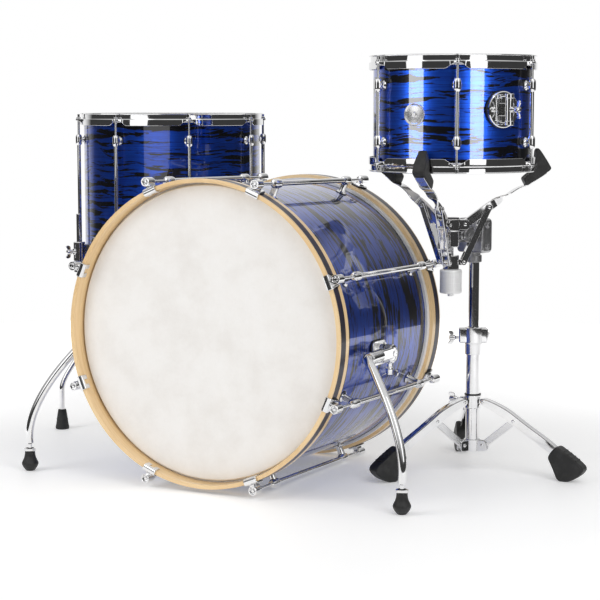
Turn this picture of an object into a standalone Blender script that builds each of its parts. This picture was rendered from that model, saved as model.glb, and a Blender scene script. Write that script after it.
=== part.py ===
"""Acoustic drum kit: a bass drum on spurs, a floor tom on legs and a rack tom in a tripod basket stand.

Lengths are metres and +Z is up. -Y is the audience's side and the origin is on the floor, under the
middle of the kit's bounding box. Each drum is made in its own frame, +Z along its axis, then placed.
"""

import math
from collections import namedtuple

import bmesh
import bpy
from mathutils import Matrix, Vector

# Where the assemblies stand.
BASS_FRONT = Vector((0.0732, -0.4503, 0.301))
FLOOR_TOM_AT = Vector((-0.4068, 0.2377, 0.0))
STAND_AT = Vector((0.4532, -0.0263, 0.0))
BASKET_OFFSET = Vector((-0.0180, -0.0771, 0.0))
BASS_TILT = math.radians(1.06)

GAP = 0.0003
WELD = 0.00001

# Bass drum. Its frame runs from the front hoop's edge, at 0, to the batter hoop's, at BASS_LENGTH.
BASS_LENGTH = 0.462
WOOD_HOOP_R = 0.2925
WOOD_HOOP_WALL = 0.0082
WOOD_HOOP_DEPTH = 0.038
CLAW_ROD_R = 0.0030
CLAW_NOSE_R = 0.0080

# Spurs, for the right-hand side of the bass drum, from the point on the floor below its front.
SPUR_PIVOT = Vector((0.3050, 0.187, 0.262))
SPUR_TOP = Vector((0.310, 0.080, 0.264))
SPUR_BULGE = Vector((0.418, 0.017, 0.140))
SPUR_END = Vector((0.4074, 0.018, 0.056))
SPUR_TUBE_R = 0.008
SPIKE_R = 0.0043
SPUR_FOOT_TOP = 0.044

# Floor tom legs.
LEG_ROD_R = 0.006
LEG_CIRCLE_R = 0.250
LEG_FOOT_CIRCLE_R = 0.300
LEG_TOP = 0.484
LEG_BEND_TOP = 0.190
LEG_BEND_BOTTOM = 0.087
LEG_BRACKET_Z = 0.400
LEG_ANGLES = [-115.9, 19.1, 154.1]

# Rack tom mounting bracket.
MOUNT_ANGLE = -32.0
MOUNT_Z = 0.720

# Tripod, in (radius, height) round the stand's axis.
TRIPOD_ANGLES = [-2.0, 118.0, 238.0]
COLLAR_PIVOT = (0.0250, 0.1413)
KNEE_PIVOT = (0.0905, 0.1090)
HUB_PIVOT = (0.0240, 0.0543)
STAND_TUBE_R = 0.0140
STAND_TUBE_BORE_R = 0.0113
UPPER_TUBE_R = 0.0103
CLAMP_SCREW_ANGLE = 207.4
COLLAR_SCREW_ANGLE = 185.0

# Basket, in (radius, height) round the basket's own axis.
ARM_ANGLES = [36.0, 159.0, 274.0]
ARM_PIVOT = (0.0260, 0.4985)
ARM_STRUT_PIVOT = (0.0735, 0.5312)
LOWER_HUB_PIVOT = (0.0240, 0.4250)
TILT_PIVOT = (0.0380, 0.4750)
BASKET_SCREW_R = 0.0048
BASKET_BORE_R = 0.0056

Drum = namedtuple(
    "Drum", "name place radius wall low high rod_r lug_count lug_phase posts tube_r post_r steps"
)

ALONG_Y = Matrix.Rotation(-math.pi / 2 - BASS_TILT, 4, "X")
BASS = Drum(
    name="bass", place=Matrix.Translation(BASS_FRONT) @ ALONG_Y, radius=0.2794, wall=0.0075,
    low=0.0278, high=0.4342, rod_r=0.307, lug_count=8, lug_phase=22.5, posts=(0.082, 0.378),
    tube_r=0.006, post_r=0.006, steps=32,
)
FLOOR_TOM = Drum(
    name="floor_tom", place=Matrix.Translation(FLOOR_TOM_AT), radius=0.2032, wall=0.0065,
    low=0.2948, high=0.7012, rod_r=0.2168, lug_count=8, lug_phase=-3.4, posts=(0.347, 0.649),
    tube_r=0.0048, post_r=0.0048, steps=24,
)
RACK_TOM = Drum(
    name="rack_tom", place=Matrix.Translation(STAND_AT + BASKET_OFFSET), radius=0.1524, wall=0.0060,
    low=0.6105, high=0.8137, rod_r=0.1660, lug_count=6, lug_phase=-64.6, posts=(0.659, 0.765),
    tube_r=0.0048, post_r=0.0048, steps=24,
)


# ---------------------------------------------------------------- tools


def clear_scene():
    for obj in list(bpy.data.objects):
        bpy.data.objects.remove(obj, do_unlink=True)


def new_material(name, colour, roughness, metallic):
    material = bpy.data.materials.new(name)
    material.use_nodes = True
    shader = material.node_tree.nodes["Principled BSDF"]
    shader.inputs["Base Color"].default_value = (*colour, 1.0)
    shader.inputs["Roughness"].default_value = roughness
    shader.inputs["Metallic"].default_value = metallic
    return material


def new_object(mesh):
    obj = bpy.data.objects.new("piece", mesh)
    PARTS.objects.link(obj)
    return obj


def from_bmesh(bm):
    mesh = bpy.data.meshes.new("piece")
    bm.to_mesh(mesh)
    bm.free()
    return new_object(mesh)


def baked(obj):
    """The object with its modifiers or its curve's bevel made into one welded mesh that faces out."""
    bpy.context.view_layer.update()
    evaluated = obj.evaluated_get(bpy.context.evaluated_depsgraph_get())
    mesh = bpy.data.meshes.new_from_object(evaluated)
    bpy.data.objects.remove(obj, do_unlink=True)
    bm = bmesh.new()
    bm.from_mesh(mesh)
    bmesh.ops.remove_doubles(bm, verts=bm.verts, dist=WELD)
    bmesh.ops.recalc_face_normals(bm, faces=bm.faces)
    bpy.data.meshes.remove(mesh)
    return from_bmesh(bm)


def moved(obj, matrix):
    obj.data.transform(matrix)
    return obj


def turn(degrees):
    return Matrix.Rotation(math.radians(degrees), 4, "Z")


def box(low, high):
    low, high = Vector(low), Vector(high)
    bm = bmesh.new()
    size = Matrix.Diagonal((*(high - low), 1.0))
    bmesh.ops.create_cube(bm, size=1.0, matrix=Matrix.Translation((low + high) / 2) @ size)
    return from_bmesh(bm)


def rod(start, end, radius, sides=8, end_radius=None):
    """A cylinder, or a cone where end_radius differs, from start to end."""
    start, end = Vector(start), Vector(end)
    along = end - start
    bm = bmesh.new()
    bmesh.ops.create_cone(
        bm, cap_ends=True, segments=sides, radius1=radius, radius2=end_radius or radius, depth=along.length,
        matrix=Matrix.Translation((start + end) / 2) @ along.to_track_quat("Z", "Y").to_matrix().to_4x4(),
    )
    return from_bmesh(bm)


def turned(profile, steps, ring=True):
    """A profile of (radius, height) points turned round Z. A ring's profile is a closed loop."""
    bm = bmesh.new()
    points = [bm.verts.new((radius, 0.0, height)) for radius, height in profile]
    for first, second in zip(points, points[1:]):
        bm.edges.new((first, second))
    if ring:
        bm.edges.new((points[-1], points[0]))
    obj = from_bmesh(bm)
    screw = obj.modifiers.new("turn", "SCREW")
    screw.steps = screw.render_steps = steps
    screw.use_merge_vertices = True
    screw.merge_threshold = WELD
    return baked(obj)


def plate(outline, thickness, angle=0.0):
    """A flat (radius, height) outline, thickened evenly about its plane, standing at an angle round Z."""
    curve = bpy.data.curves.new("piece", "CURVE")
    curve.dimensions = "2D"
    curve.fill_mode = "BOTH"
    curve.extrude = thickness / 2
    spline = curve.splines.new("POLY")
    spline.points.add(len(outline) - 1)
    for point, (radius, height) in zip(spline.points, outline):
        point.co = (radius, height, 0.0, 1.0)
    spline.use_cyclic_u = True
    upright = Matrix.Rotation(math.pi / 2, 4, "X")
    return moved(baked(new_object(curve)), turn(angle) @ upright)


def tube(points, radius):
    """A round bar along the points."""
    curve = bpy.data.curves.new("piece", "CURVE")
    curve.dimensions = "3D"
    curve.bevel_depth = radius
    curve.bevel_resolution = 2
    curve.use_fill_caps = True
    spline = curve.splines.new("POLY")
    spline.points.add(len(points) - 1)
    for point, place in zip(spline.points, points):
        point.co = (*place, 1.0)
    return baked(new_object(curve))


def joined(pieces):
    bm = bmesh.new()
    for piece in pieces:
        bm.from_mesh(piece.data)
        bpy.data.objects.remove(piece, do_unlink=True)
    return from_bmesh(bm)


def combined(base, pieces, operation):
    tool = joined(pieces)
    boolean = base.modifiers.new(operation.lower(), "BOOLEAN")
    boolean.operation = operation
    boolean.object = tool
    boolean.use_self = True
    result = baked(base)
    bpy.data.objects.remove(tool, do_unlink=True)
    return result


def fused(base, *pieces):
    return combined(base, pieces, "UNION")


def cut(base, *cutters):
    return combined(base, cutters, "DIFFERENCE")


def finish(name, obj, material, pivot, parent):
    """Names the piece, puts its origin on its pivot and hangs it under its assembly's empty."""
    obj.name = obj.data.name = name
    obj.data.transform(Matrix.Translation(-Vector(pivot)))
    obj.location = Vector(pivot) - parent.location
    obj.parent = parent
    obj.data.materials.append(material)
    obj.data.shade_smooth()
    obj.data.set_sharp_from_angle(angle=math.radians(35))
    return obj


def assembly(name, at):
    empty = bpy.data.objects.new(name, None)
    empty.location = at
    PARTS.objects.link(empty)
    return empty


def around(angle, point, at=(0.0, 0.0, 0.0)):
    """The world place of a (radius, height) point standing at an angle round a vertical axis."""
    return turn(angle) @ Vector((point[0], 0.0, point[1])) + Vector(at)


def arc(centre, radius, first, last, count):
    """Points of a (radius, height) outline's round end, from one angle in degrees to another."""
    angles = [math.radians(first + (last - first) * i / (count - 1)) for i in range(count)]
    return [(centre[0] + radius * math.cos(a), centre[1] + radius * math.sin(a)) for a in angles]


# ---------------------------------------------------------------- drums


def lug_angles(drum):
    return [drum.lug_phase + i * 360.0 / drum.lug_count for i in range(drum.lug_count)]


def drum_shell(drum):
    """The wooden cylinder with its tube lugs: a tube on two posts at each lug."""
    inner = drum.radius - drum.wall
    shell = turned(
        [(drum.radius, drum.high), (drum.radius, drum.low), (inner, drum.low), (inner, drum.high)],
        drum.steps,
    )
    overhang = 0.009
    pieces = []
    for angle in lug_angles(drum):
        lug = [rod(
            (drum.rod_r, 0, drum.posts[0] - overhang), (drum.rod_r, 0, drum.posts[1] + overhang),
            drum.tube_r, sides=6,
        )]
        for height in drum.posts:
            root = drum.radius - drum.wall * 0.6
            lug.append(rod((root, 0, height), (drum.rod_r, 0, height), drum.post_r, sides=6))
        pieces += [moved(piece, turn(angle)) for piece in lug]
    return moved(fused(shell, *pieces), drum.place)


def drum_head(drum, edge, side):
    """A film over the bearing edge at edge, its collar outside the shell and its flesh ring."""
    film, collar_gap, collar, flesh = 0.0012, 0.0004, 0.0014, 0.0060
    collar_depth = 0.0101 if drum is BASS else 0.0190
    flesh_depth = collar_depth + 0.0100
    inner = drum.radius + collar_gap
    outer = inner + collar
    seat = -collar_depth - GAP
    profile = [
        (0, film + GAP), (outer, film + GAP), (outer, seat), (inner + flesh, seat),
        (inner + flesh, -flesh_depth), (inner, -flesh_depth), (inner, GAP), (0, GAP),
    ]
    head = turned([(radius, edge + side * out) for radius, out in profile], drum.steps, ring=False)
    return moved(head, drum.place)


def wood_hoop(edge, side):
    """A maple hoop whose open edge is at edge, its eight claws and their tension rods."""
    inner = WOOD_HOOP_R - WOOD_HOOP_WALL

    def height(depth):
        return edge + side * depth

    hoop = turned(
        [(WOOD_HOOP_R, height(0)), (WOOD_HOOP_R, height(WOOD_HOOP_DEPTH)),
         (inner, height(WOOD_HOOP_DEPTH)), (inner, height(0))],
        BASS.steps,
    )
    claw_back, claw_top, claw_half, claw_reach = 0.0040, 0.3010, 0.0150, 0.030
    rod_length = BASS.posts[0] - 0.0095
    pieces = []
    for angle in lug_angles(BASS):
        low, high = sorted((height(-claw_back), height(claw_reach)))
        claw = [
            box((inner + 0.002, -claw_half, low), (claw_top, claw_half, high)),
            rod((BASS.rod_r, 0, height(-0.006)), (BASS.rod_r, 0, height(0.020)), CLAW_NOSE_R),
            rod((BASS.rod_r, 0, height(0.012)), (BASS.rod_r, 0, height(rod_length)), CLAW_ROD_R, sides=6),
        ]
        pieces += [moved(piece, turn(angle)) for piece in claw]
    return moved(fused(hoop, *pieces), BASS.place)


def flanged_hoop(drum, edge, side):
    """A pressed steel hoop over the bearing edge at edge, with an ear and a tension rod at each lug."""
    wall, thick, lip, seat, crown = 0.0028, 0.0023, 0.0085, -0.0187, 0.0085
    profile = [
        (wall, crown), (lip, crown), (lip, crown - thick), (wall + thick, crown - thick),
        (wall + thick, seat + thick), (lip, seat + thick), (lip, seat), (wall, seat),
    ]
    hoop = turned([(drum.radius + out, edge + side * up) for out, up in profile], drum.steps)
    post = drum.posts[1] if side > 0 else drum.posts[0]
    rod_end = post + side * (0.009 + GAP * 2)
    ear_half = 0.0110
    pieces = []
    for angle in lug_angles(drum):
        low, high = sorted((edge + side * (seat + 0.0004), edge + side * (seat + thick + 0.0008)))
        ear = box((drum.radius + wall + 0.001, -ear_half, low), (drum.rod_r + 0.007, ear_half, high))
        screw = rod((drum.rod_r, 0, edge - side * 0.004), (drum.rod_r, 0, rod_end), 0.003, sides=6)
        pieces += [moved(ear, turn(angle)), moved(screw, turn(angle))]
    return moved(fused(hoop, *pieces), drum.place)


# ---------------------------------------------------------------- screws and feet


def wing_screw(base, direction, wing, reach=0.022, span=0.030):
    """A stem with two flat wings. base is its inner end and wing the direction of its wings."""
    base, direction, wing = Vector(base), Vector(direction).normalized(), Vector(wing).normalized()
    stem = rod(base, base + direction * reach * 0.6, 0.0045)
    hub = rod(base + direction * reach * 0.35, base + direction * reach, 0.0065)
    blade = box((-0.002, -span / 2, -0.006), (0.002, span / 2, 0.006))
    side = wing.cross(direction)
    axes = Matrix((side, wing, direction)).transposed().to_4x4()
    moved(blade, Matrix.Translation(base + direction * (reach - 0.006)) @ axes)
    return fused(stem, hub, blade)


# ---------------------------------------------------------------- bass drum


def bass_drum():
    group = assembly("bass_drum", BASS_FRONT)
    centre = BASS.place @ Vector((0, 0, BASS_LENGTH / 2))
    finish("bass_shell", drum_shell(BASS), WRAP, centre, group)
    finish("bass_front_head", drum_head(BASS, BASS.low, -1), HEAD, centre, group)
    finish("bass_batter_head", drum_head(BASS, BASS.high, 1), HEAD, centre, group)
    finish("bass_front_hoop", wood_hoop(0.0, 1), MAPLE, centre, group)
    finish("bass_batter_hoop", wood_hoop(BASS_LENGTH, -1), MAPLE, centre, group)
    for name, side in (("left", -1), ("right", 1)):
        spur(name, side, group)


def spur(name, side, group):
    """One folding spur: a bracket on the shell, a curved leg, its screwed foot and its wing nut."""
    floor = Vector((BASS_FRONT.x, BASS_FRONT.y, 0.0))
    mirror = Matrix.Translation(floor) @ Matrix.Diagonal((side, 1, 1, 1))

    def placed(obj):
        moved(obj, mirror)
        if side < 0:
            obj.data.flip_normals()
        return obj

    pivot = SPUR_PIVOT
    face = BASS.radius + 0.0006
    bracket = fused(
        box((face, 0.158, 0.238), (face + 0.005, 0.216, 0.286)),
        rod((face + 0.002, pivot.y, pivot.z), (pivot.x - 0.0085, pivot.y, pivot.z), 0.0180, sides=12),
    )
    finish("spur_bracket_" + name, placed(bracket), CHROME, mirror @ pivot, group)

    steps = 9
    curve = []
    for i in range(steps + 1):
        t = i / steps
        curve.append(SPUR_TOP * (1 - t) ** 2 + SPUR_BULGE * 2 * t * (1 - t) + SPUR_END * t ** 2)
    spike_top = curve[-1] + Vector((0, 0, 0.006))
    leg = fused(
        tube([Vector((0.306, 0.100, 0.265))] + curve, SPUR_TUBE_R),
        rod((pivot.x - 0.0080, pivot.y, pivot.z), (pivot.x + 0.0095, pivot.y, pivot.z), 0.0180, sides=12),
        box((pivot.x - 0.0070, 0.088, 0.2525), (pivot.x + 0.0110, pivot.y + 0.004, 0.2765)),
        rod(spike_top, (SPUR_END.x, SPUR_END.y, 0.006), SPIKE_R),
    )
    finish("spur_leg_" + name, placed(leg), CHROME, mirror @ pivot, group)

    bore = SPIKE_R + 0.0007
    foot = turned(
        [(0.0130, SPUR_FOOT_TOP), (0.0130, 0.0400), (0.0150, 0.0200), (0.0115, 0.0060), (0.0070, 0.0),
         (bore, 0.0), (bore, SPUR_FOOT_TOP)],
        12,
    )
    moved(foot, Matrix.Translation((SPUR_END.x, SPUR_END.y, 0)))
    foot_origin = mirror @ Vector((SPUR_END.x, SPUR_END.y, 0.0))
    finish("spur_foot_" + name, placed(foot), RUBBER, foot_origin, group)

    nut_base = Vector((pivot.x, pivot.y, pivot.z - 0.0180 - GAP))
    nut = wing_screw(nut_base, (0, 0, -1), (0, 1, 0))
    finish("spur_wing_nut_" + name, placed(nut), CHROME, mirror @ nut_base, group)


# ---------------------------------------------------------------- toms


def tom_drum(drum, group):
    centre = drum.place @ Vector((0, 0, (drum.low + drum.high) / 2))
    finish(drum.name + "_shell", drum_shell(drum), WRAP, centre, group)
    finish(drum.name + "_batter_head", drum_head(drum, drum.high, 1), HEAD, centre, group)
    finish(drum.name + "_bottom_head", drum_head(drum, drum.low, -1), HEAD, centre, group)
    finish(drum.name + "_top_hoop", flanged_hoop(drum, drum.high, 1), CHROME, centre, group)
    finish(drum.name + "_bottom_hoop", flanged_hoop(drum, drum.low, -1), CHROME, centre, group)


def floor_tom():
    group = assembly("floor_tom", FLOOR_TOM_AT)
    tom_drum(FLOOR_TOM, group)
    for number, angle in enumerate(LEG_ANGLES, 1):
        floor_tom_leg(number, angle, group)


def floor_tom_leg(number, angle, group):
    """A bent leg with a rubber foot, clamped in a bracket on the shell by a wing screw."""
    place = Matrix.Translation(FLOOR_TOM_AT) @ turn(angle)
    half_width, half_height, outer = 0.015, 0.024, 0.2625
    bracket = cut(
        box((FLOOR_TOM.radius + GAP * 2, -half_width, LEG_BRACKET_Z - half_height),
            (outer, half_width, LEG_BRACKET_Z + half_height)),
        rod((LEG_CIRCLE_R, 0, 0.36), (LEG_CIRCLE_R, 0, 0.44), LEG_ROD_R + 0.0010, sides=12),
    )
    clamp = place @ Vector((LEG_CIRCLE_R, 0, LEG_BRACKET_Z))
    finish(f"floor_leg_bracket_{number}", moved(bracket, place), CHROME, clamp, group)

    points = [Vector((LEG_CIRCLE_R, 0, LEG_TOP))]
    bends = 6
    for i in range(bends + 1):
        t = i / bends
        swing = (1 - math.cos(math.pi * t)) / 2
        radius = LEG_CIRCLE_R + (LEG_FOOT_CIRCLE_R - LEG_CIRCLE_R) * swing
        points.append(Vector((radius, 0, LEG_BEND_TOP + (LEG_BEND_BOTTOM - LEG_BEND_TOP) * t)))
    points.append(Vector((LEG_FOOT_CIRCLE_R, 0, 0.030)))
    foot = rod((LEG_FOOT_CIRCLE_R, 0, 0), (LEG_FOOT_CIRCLE_R, 0, 0.045), 0.0155, sides=12, end_radius=0.0095)
    leg = fused(tube(points, LEG_ROD_R), foot)
    finish(f"floor_leg_{number}", moved(leg, place), CHROME, clamp, group)

    base = Vector((outer + GAP, 0, LEG_BRACKET_Z))
    screw = wing_screw(base, (1, 0, 0), (0, 0, 1))
    finish(f"floor_leg_wing_screw_{number}", moved(screw, place), CHROME, place @ base, group)


def rack_tom():
    group = assembly("rack_tom", STAND_AT + BASKET_OFFSET)
    tom_drum(RACK_TOM, group)
    place = Matrix.Translation(STAND_AT + BASKET_OFFSET) @ turn(MOUNT_ANGLE)
    face = RACK_TOM.radius + GAP * 2
    bracket = cut(
        fused(
            rod((face, 0, MOUNT_Z), (face + 0.010, 0, MOUNT_Z), 0.034, sides=16),
            box((face + 0.006, -0.011, MOUNT_Z - 0.020), (0.1920, 0.011, MOUNT_Z + 0.020)),
        ),
        rod((0.1770, 0, MOUNT_Z - 0.05), (0.1770, 0, MOUNT_Z + 0.05), 0.0055, sides=12),
    )
    finish("rack_mount_bracket", moved(bracket, place), CHROME, place @ Vector((face, 0, MOUNT_Z)), group)
    base = Vector((0.1920 + GAP, 0, MOUNT_Z))
    screw = wing_screw(base, (1, 0, 0), (0, 0, 1), reach=0.020, span=0.034)
    finish("rack_mount_wing_screw", moved(screw, place), CHROME, place @ base, group)


# ---------------------------------------------------------------- tripod stand


def ear_pair(angle, inner, outer, low, high, gap, thick):
    """Two upright cheeks, either side of a link that turns between them."""
    cheeks = []
    for side in (-1, 1):
        near, far = sorted((side * gap / 2, side * (gap / 2 + thick)))
        cheeks.append(moved(box((inner, near, low), (outer, far, high)), turn(angle)))
    return cheeks


def tripod():
    group = assembly("tripod", STAND_AT)
    place = Matrix.Translation(STAND_AT)
    hub_low, hub_high, tube_top = 0.0400, 0.0660, 0.2575

    lower = turned([(STAND_TUBE_R, tube_top), (STAND_TUBE_R, hub_low), (0, hub_low), (0, hub_high),
                    (STAND_TUBE_BORE_R, hub_high), (STAND_TUBE_BORE_R, tube_top)], 16)
    ears = [rod((0, 0, hub_low + 0.001), (0, 0, hub_high - 0.001), 0.0165, sides=16)]
    for angle in TRIPOD_ANGLES:
        ears += ear_pair(angle, 0.010, 0.0320, hub_low + 0.003, hub_high - 0.003, 0.0100, 0.0030)
    lower = moved(fused(lower, *ears), place)
    finish("stand_lower_tube", lower, CHROME, STAND_AT, group)

    collar = turned([(0.0165, 0.157), (0.0165, 0.128), (STAND_TUBE_R + 0.0006, 0.128),
                     (STAND_TUBE_R + 0.0006, 0.157)], 16)
    tongues = []
    for angle in TRIPOD_ANGLES:
        tongue = [(0.0155, 0.1455), (0.0155, 0.1370)] + arc(COLLAR_PIVOT, 0.0046, -90, 90, 5)
        tongues.append(plate(tongue, 0.0094, angle))
    heading = turn(COLLAR_SCREW_ANGLE)
    boss = moved(box((0.0155, -0.006, 0.138), (0.0250, 0.006, 0.150)), heading)
    collar = moved(fused(collar, boss, *tongues), place)
    finish("tripod_collar", collar, CHROME, around(0, (0, COLLAR_PIVOT[1]), STAND_AT), group)

    screw_base = around(COLLAR_SCREW_ANGLE, (0.0250 + GAP, 0.144), STAND_AT)
    screw = wing_screw(screw_base, heading @ Vector((1, 0, 0)), (0, 0, 1), reach=0.026, span=0.026)
    finish("tripod_wing_screw", screw, CHROME, screw_base, group)

    for number, angle in enumerate(TRIPOD_ANGLES, 1):
        strut = moved(link_bar(HUB_PIVOT, KNEE_PIVOT, 0.0055, 0.0088, angle), place)
        finish(f"tripod_strut_{number}", strut, STEEL, around(angle, HUB_PIVOT, STAND_AT), group)
        leg = moved(tripod_leg(angle), place)
        finish(f"tripod_leg_{number}", leg, CHROME, around(angle, KNEE_PIVOT, STAND_AT), group)
        foot = moved(tripod_foot(angle), place)
        finish(f"tripod_foot_{number}", foot, RUBBER, around(angle, KNEE_PIVOT, STAND_AT), group)
    return group


def link_bar(first, second, radius, thickness, angle):
    """A flat bar with round ends on two pivots."""
    slope = math.degrees(math.atan2(second[1] - first[1], second[0] - first[0]))
    outline = arc(first, radius, slope + 90, slope + 270, 5) + arc(second, radius, slope - 90, slope + 90, 5)
    return plate(outline, thickness, angle)


def tripod_leg(angle):
    """An arched channel, open below, that takes the collar's tongue and the strut inside."""
    width, slot = 0.0165, 0.0108
    top = [(0.045, 0.1445), (0.070, 0.1340), (0.103, 0.1145), (0.146, 0.0878), (0.1783, 0.0651)]
    bottom = [(0.1683, 0.0516), (0.1466, 0.0668), (0.095, 0.0975), (0.060, 0.1165), (0.036, 0.1290)]
    outline = arc(COLLAR_PIVOT, 0.0075, 270, 90, 6) + top + bottom
    web = 0.0026
    cutter = [(0.010, 0.1464), (0.026, 0.1462)]
    cutter += [(radius - web * 0.45, height - web) for radius, height in top[:4]]
    cutter += [(0.140, 0.060), (0.060, 0.090), (0.010, 0.110)]
    return cut(plate(outline, width, angle), plate(cutter, slot, angle))


def tripod_foot(angle):
    outline = [
        (0.1640, 0.0450), (0.1800, 0.0665), (0.1860, 0.0672), (0.2202, 0.0451), (0.2370, 0.0312),
        (0.2385, 0.0250), (0.2331, 0.0165), (0.2209, 0.0070), (0.2060, 0.0), (0.1890, 0.0),
        (0.1835, 0.0040), (0.1747, 0.0243),
    ]
    return plate(outline, 0.028, angle)


def stand_top():
    """The upper tube with its clamp, and the tilter's fixed half."""
    group = assembly("stand_top", STAND_AT)
    place = Matrix.Translation(STAND_AT)
    bore, tube_top = UPPER_TUBE_R + 0.0006, 0.2575
    clamp = turned(
        [(0.0190, 0.2900), (0.0190, 0.2600), (0.0168, 0.2560), (0.0168, 0.2360),
         (STAND_TUBE_R + GAP, 0.2360), (STAND_TUBE_R + GAP, tube_top + GAP), (bore, tube_top + GAP),
         (bore, 0.2900)],
        16,
    )
    heading = turn(CLAMP_SCREW_ANGLE)
    jaws = [
        box((0.0130, -0.011, 0.263), (0.0300, 0.011, 0.287)),
        box((-0.0280, -0.011, 0.263), (-0.0130, 0.011, 0.287)),
    ]
    clamp = moved(fused(clamp, *[moved(jaw, heading) for jaw in jaws]), place)
    finish("height_clamp", clamp, CHROME, around(0, (0, 0.275), STAND_AT), group)
    base = around(CLAMP_SCREW_ANGLE, (0.0300 + GAP, 0.269), STAND_AT)
    screw = wing_screw(base, heading @ Vector((1, 0, 0)), (0, 0, 1), reach=0.020, span=0.028)
    finish("height_clamp_screw", screw, CHROME, base, group)

    upper = moved(rod((0, 0, 0.165), (0, 0, 0.4195), UPPER_TUBE_R, sides=16), place)
    finish("stand_upper_tube", upper, CHROME, around(0, (0, 0.275), STAND_AT), group)

    to_basket = math.degrees(math.atan2(BASKET_OFFSET.y, BASKET_OFFSET.x))
    forward = turn(to_basket)
    housing = box((-0.0165, -0.031, 0.4390), (0.0165, 0.031, 0.5070))
    collar = rod((0, 0, 0.4200), (0, 0, 0.4420), 0.0148, sides=16)
    cheeks = ear_pair(0, 0.0140, 0.0470, 0.4600, 0.4900, 0.0150, 0.0055)
    base_piece = moved(fused(housing, collar, *cheeks), place @ forward)
    pivot = around(to_basket, TILT_PIVOT, STAND_AT)
    finish("tilter_base", base_piece, STEEL, pivot, group)

    side = forward @ Vector((0, 1, 0))
    screw_base = pivot - side * (0.0130 + GAP)
    screw = wing_screw(screw_base, -side, (0, 0, 1), reach=0.020, span=0.028)
    finish("tilter_wing_screw", screw, CHROME, screw_base, group)


# ---------------------------------------------------------------- basket


def basket():
    at = STAND_AT + BASKET_OFFSET
    group = assembly("basket", at)
    place = Matrix.Translation(at)
    to_tube = math.degrees(math.atan2(-BASKET_OFFSET.y, -BASKET_OFFSET.x))
    reach = BASKET_OFFSET.length - TILT_PIVOT[0]

    lug = [(0.0100, 0.4840), (0.0100, 0.4660)] + arc((reach, TILT_PIVOT[1]), 0.0090, -90, 90, 7)
    pieces = [
        rod((0, 0, 0.3720), (0, 0, 0.4600), BASKET_SCREW_R, sides=8),
        rod((0, 0, 0.4850), (0, 0, 0.5100), 0.0180, sides=16),
        plate(lug, 0.0136, to_tube),
    ]
    for angle in ARM_ANGLES:
        pieces += ear_pair(angle, 0.010, 0.0340, 0.4880, 0.5080, 0.0110, 0.0028)
    post = moved(fused(rod((0, 0, 0.4550), (0, 0, 0.4870), 0.0160, sides=16), *pieces), place)
    pivot = around(to_tube, (reach, TILT_PIVOT[1]), at)
    finish("basket_post", post, CHROME, pivot, group)

    profile = [(0.0155, 0.4385), (0.0155, 0.4115), (BASKET_BORE_R, 0.4115), (BASKET_BORE_R, 0.4385)]
    lower = turned(profile, 16)
    tongues = []
    for angle in ARM_ANGLES:
        tongue = [(0.0120, 0.4310), (0.0120, 0.4190)] + arc(LOWER_HUB_PIVOT, 0.0060, -90, 90, 5)
        tongues.append(plate(tongue, 0.0100, angle))
    lower = moved(fused(lower, *tongues), place)
    finish("basket_lower_hub", lower, CHROME, around(0, (0, LOWER_HUB_PIVOT[1]), at), group)

    knob = turned([(BASKET_BORE_R, 0.4110), (0.0200, 0.4110), (0.0215, 0.4080), (0.0215, 0.3660),
                   (0.0200, 0.3645), (0.0065, 0.3645), (0.0055, 0.3586), (0, 0.3586), (0, 0.3685),
                   (BASKET_BORE_R, 0.3685)], 16)
    finish("basket_knob", moved(knob, place), ALUMINIUM, around(0, (0, 0.3885), at), group)

    for number, angle in enumerate(ARM_ANGLES, 1):
        arm = moved(basket_arm(angle), place)
        finish(f"basket_arm_{number}", arm, CHROME, around(angle, ARM_PIVOT, at), group)
        strut = moved(basket_strut(angle), place)
        finish(f"basket_strut_{number}", strut, CHROME, around(angle, LOWER_HUB_PIVOT, at), group)


def basket_arm(angle):
    """A bar from the hub that thins into a strap, with the rubber jaw that takes the drum's hoop."""
    bar = arc(ARM_PIVOT, 0.0068, 290, 110, 5)
    bar += [(0.0800, 0.5455), (0.1150, 0.5635), (0.1480, 0.5850)]
    bar += [(0.1500, 0.5790), (0.1180, 0.5575), (0.0830, 0.5275)]
    jaw = [
        (0.1475, 0.5710), (0.1935, 0.6010), (0.1965, 0.6065), (0.1715, 0.6435), (0.1670, 0.6445),
        (0.1625, 0.6330), (0.1660, 0.6052), (0.1400, 0.5870),
    ]
    return fused(plate(bar, 0.0100, angle), plate(jaw, 0.0240, angle))


def basket_strut(angle):
    """A bar forked at both ends, over the lower hub's tongue and over the arm."""
    bar = link_bar(LOWER_HUB_PIVOT, ARM_STRUT_PIVOT, 0.0070, 0.0160, angle)
    foot, head = Vector(LOWER_HUB_PIVOT), Vector(ARM_STRUT_PIVOT)
    along = (head - foot).normalized()
    across = Vector((along.y, -along.x)) * 0.012
    lower_fork = (foot - along * 0.012, foot + along * 0.016)
    upper_fork = (head - along * 0.036, head + along * 0.012)
    slots = []
    for near, far in (lower_fork, upper_fork):
        outline = [near - across, near + across, far + across, far - across]
        slots.append(plate([tuple(point) for point in outline], 0.0108, angle))
    return cut(bar, *slots)


# ---------------------------------------------------------------- build

clear_scene()
PARTS = bpy.data.collections.new("drum_kit")
bpy.context.scene.collection.children.link(PARTS)

WRAP = new_material("blue_pearl_wrap", (0.01, 0.06, 0.42), 0.12, 0.0)
HEAD = new_material("coated_head", (0.88, 0.86, 0.82), 0.60, 0.0)
MAPLE = new_material("clear_maple", (0.80, 0.58, 0.33), 0.30, 0.0)
CHROME = new_material("chrome", (0.80, 0.80, 0.80), 0.08, 1.0)
STEEL = new_material("satin_steel", (0.62, 0.62, 0.62), 0.28, 1.0)
ALUMINIUM = new_material("satin_aluminium", (0.75, 0.75, 0.76), 0.35, 1.0)
RUBBER = new_material("black_rubber", (0.02, 0.02, 0.02), 0.65, 0.0)

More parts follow.
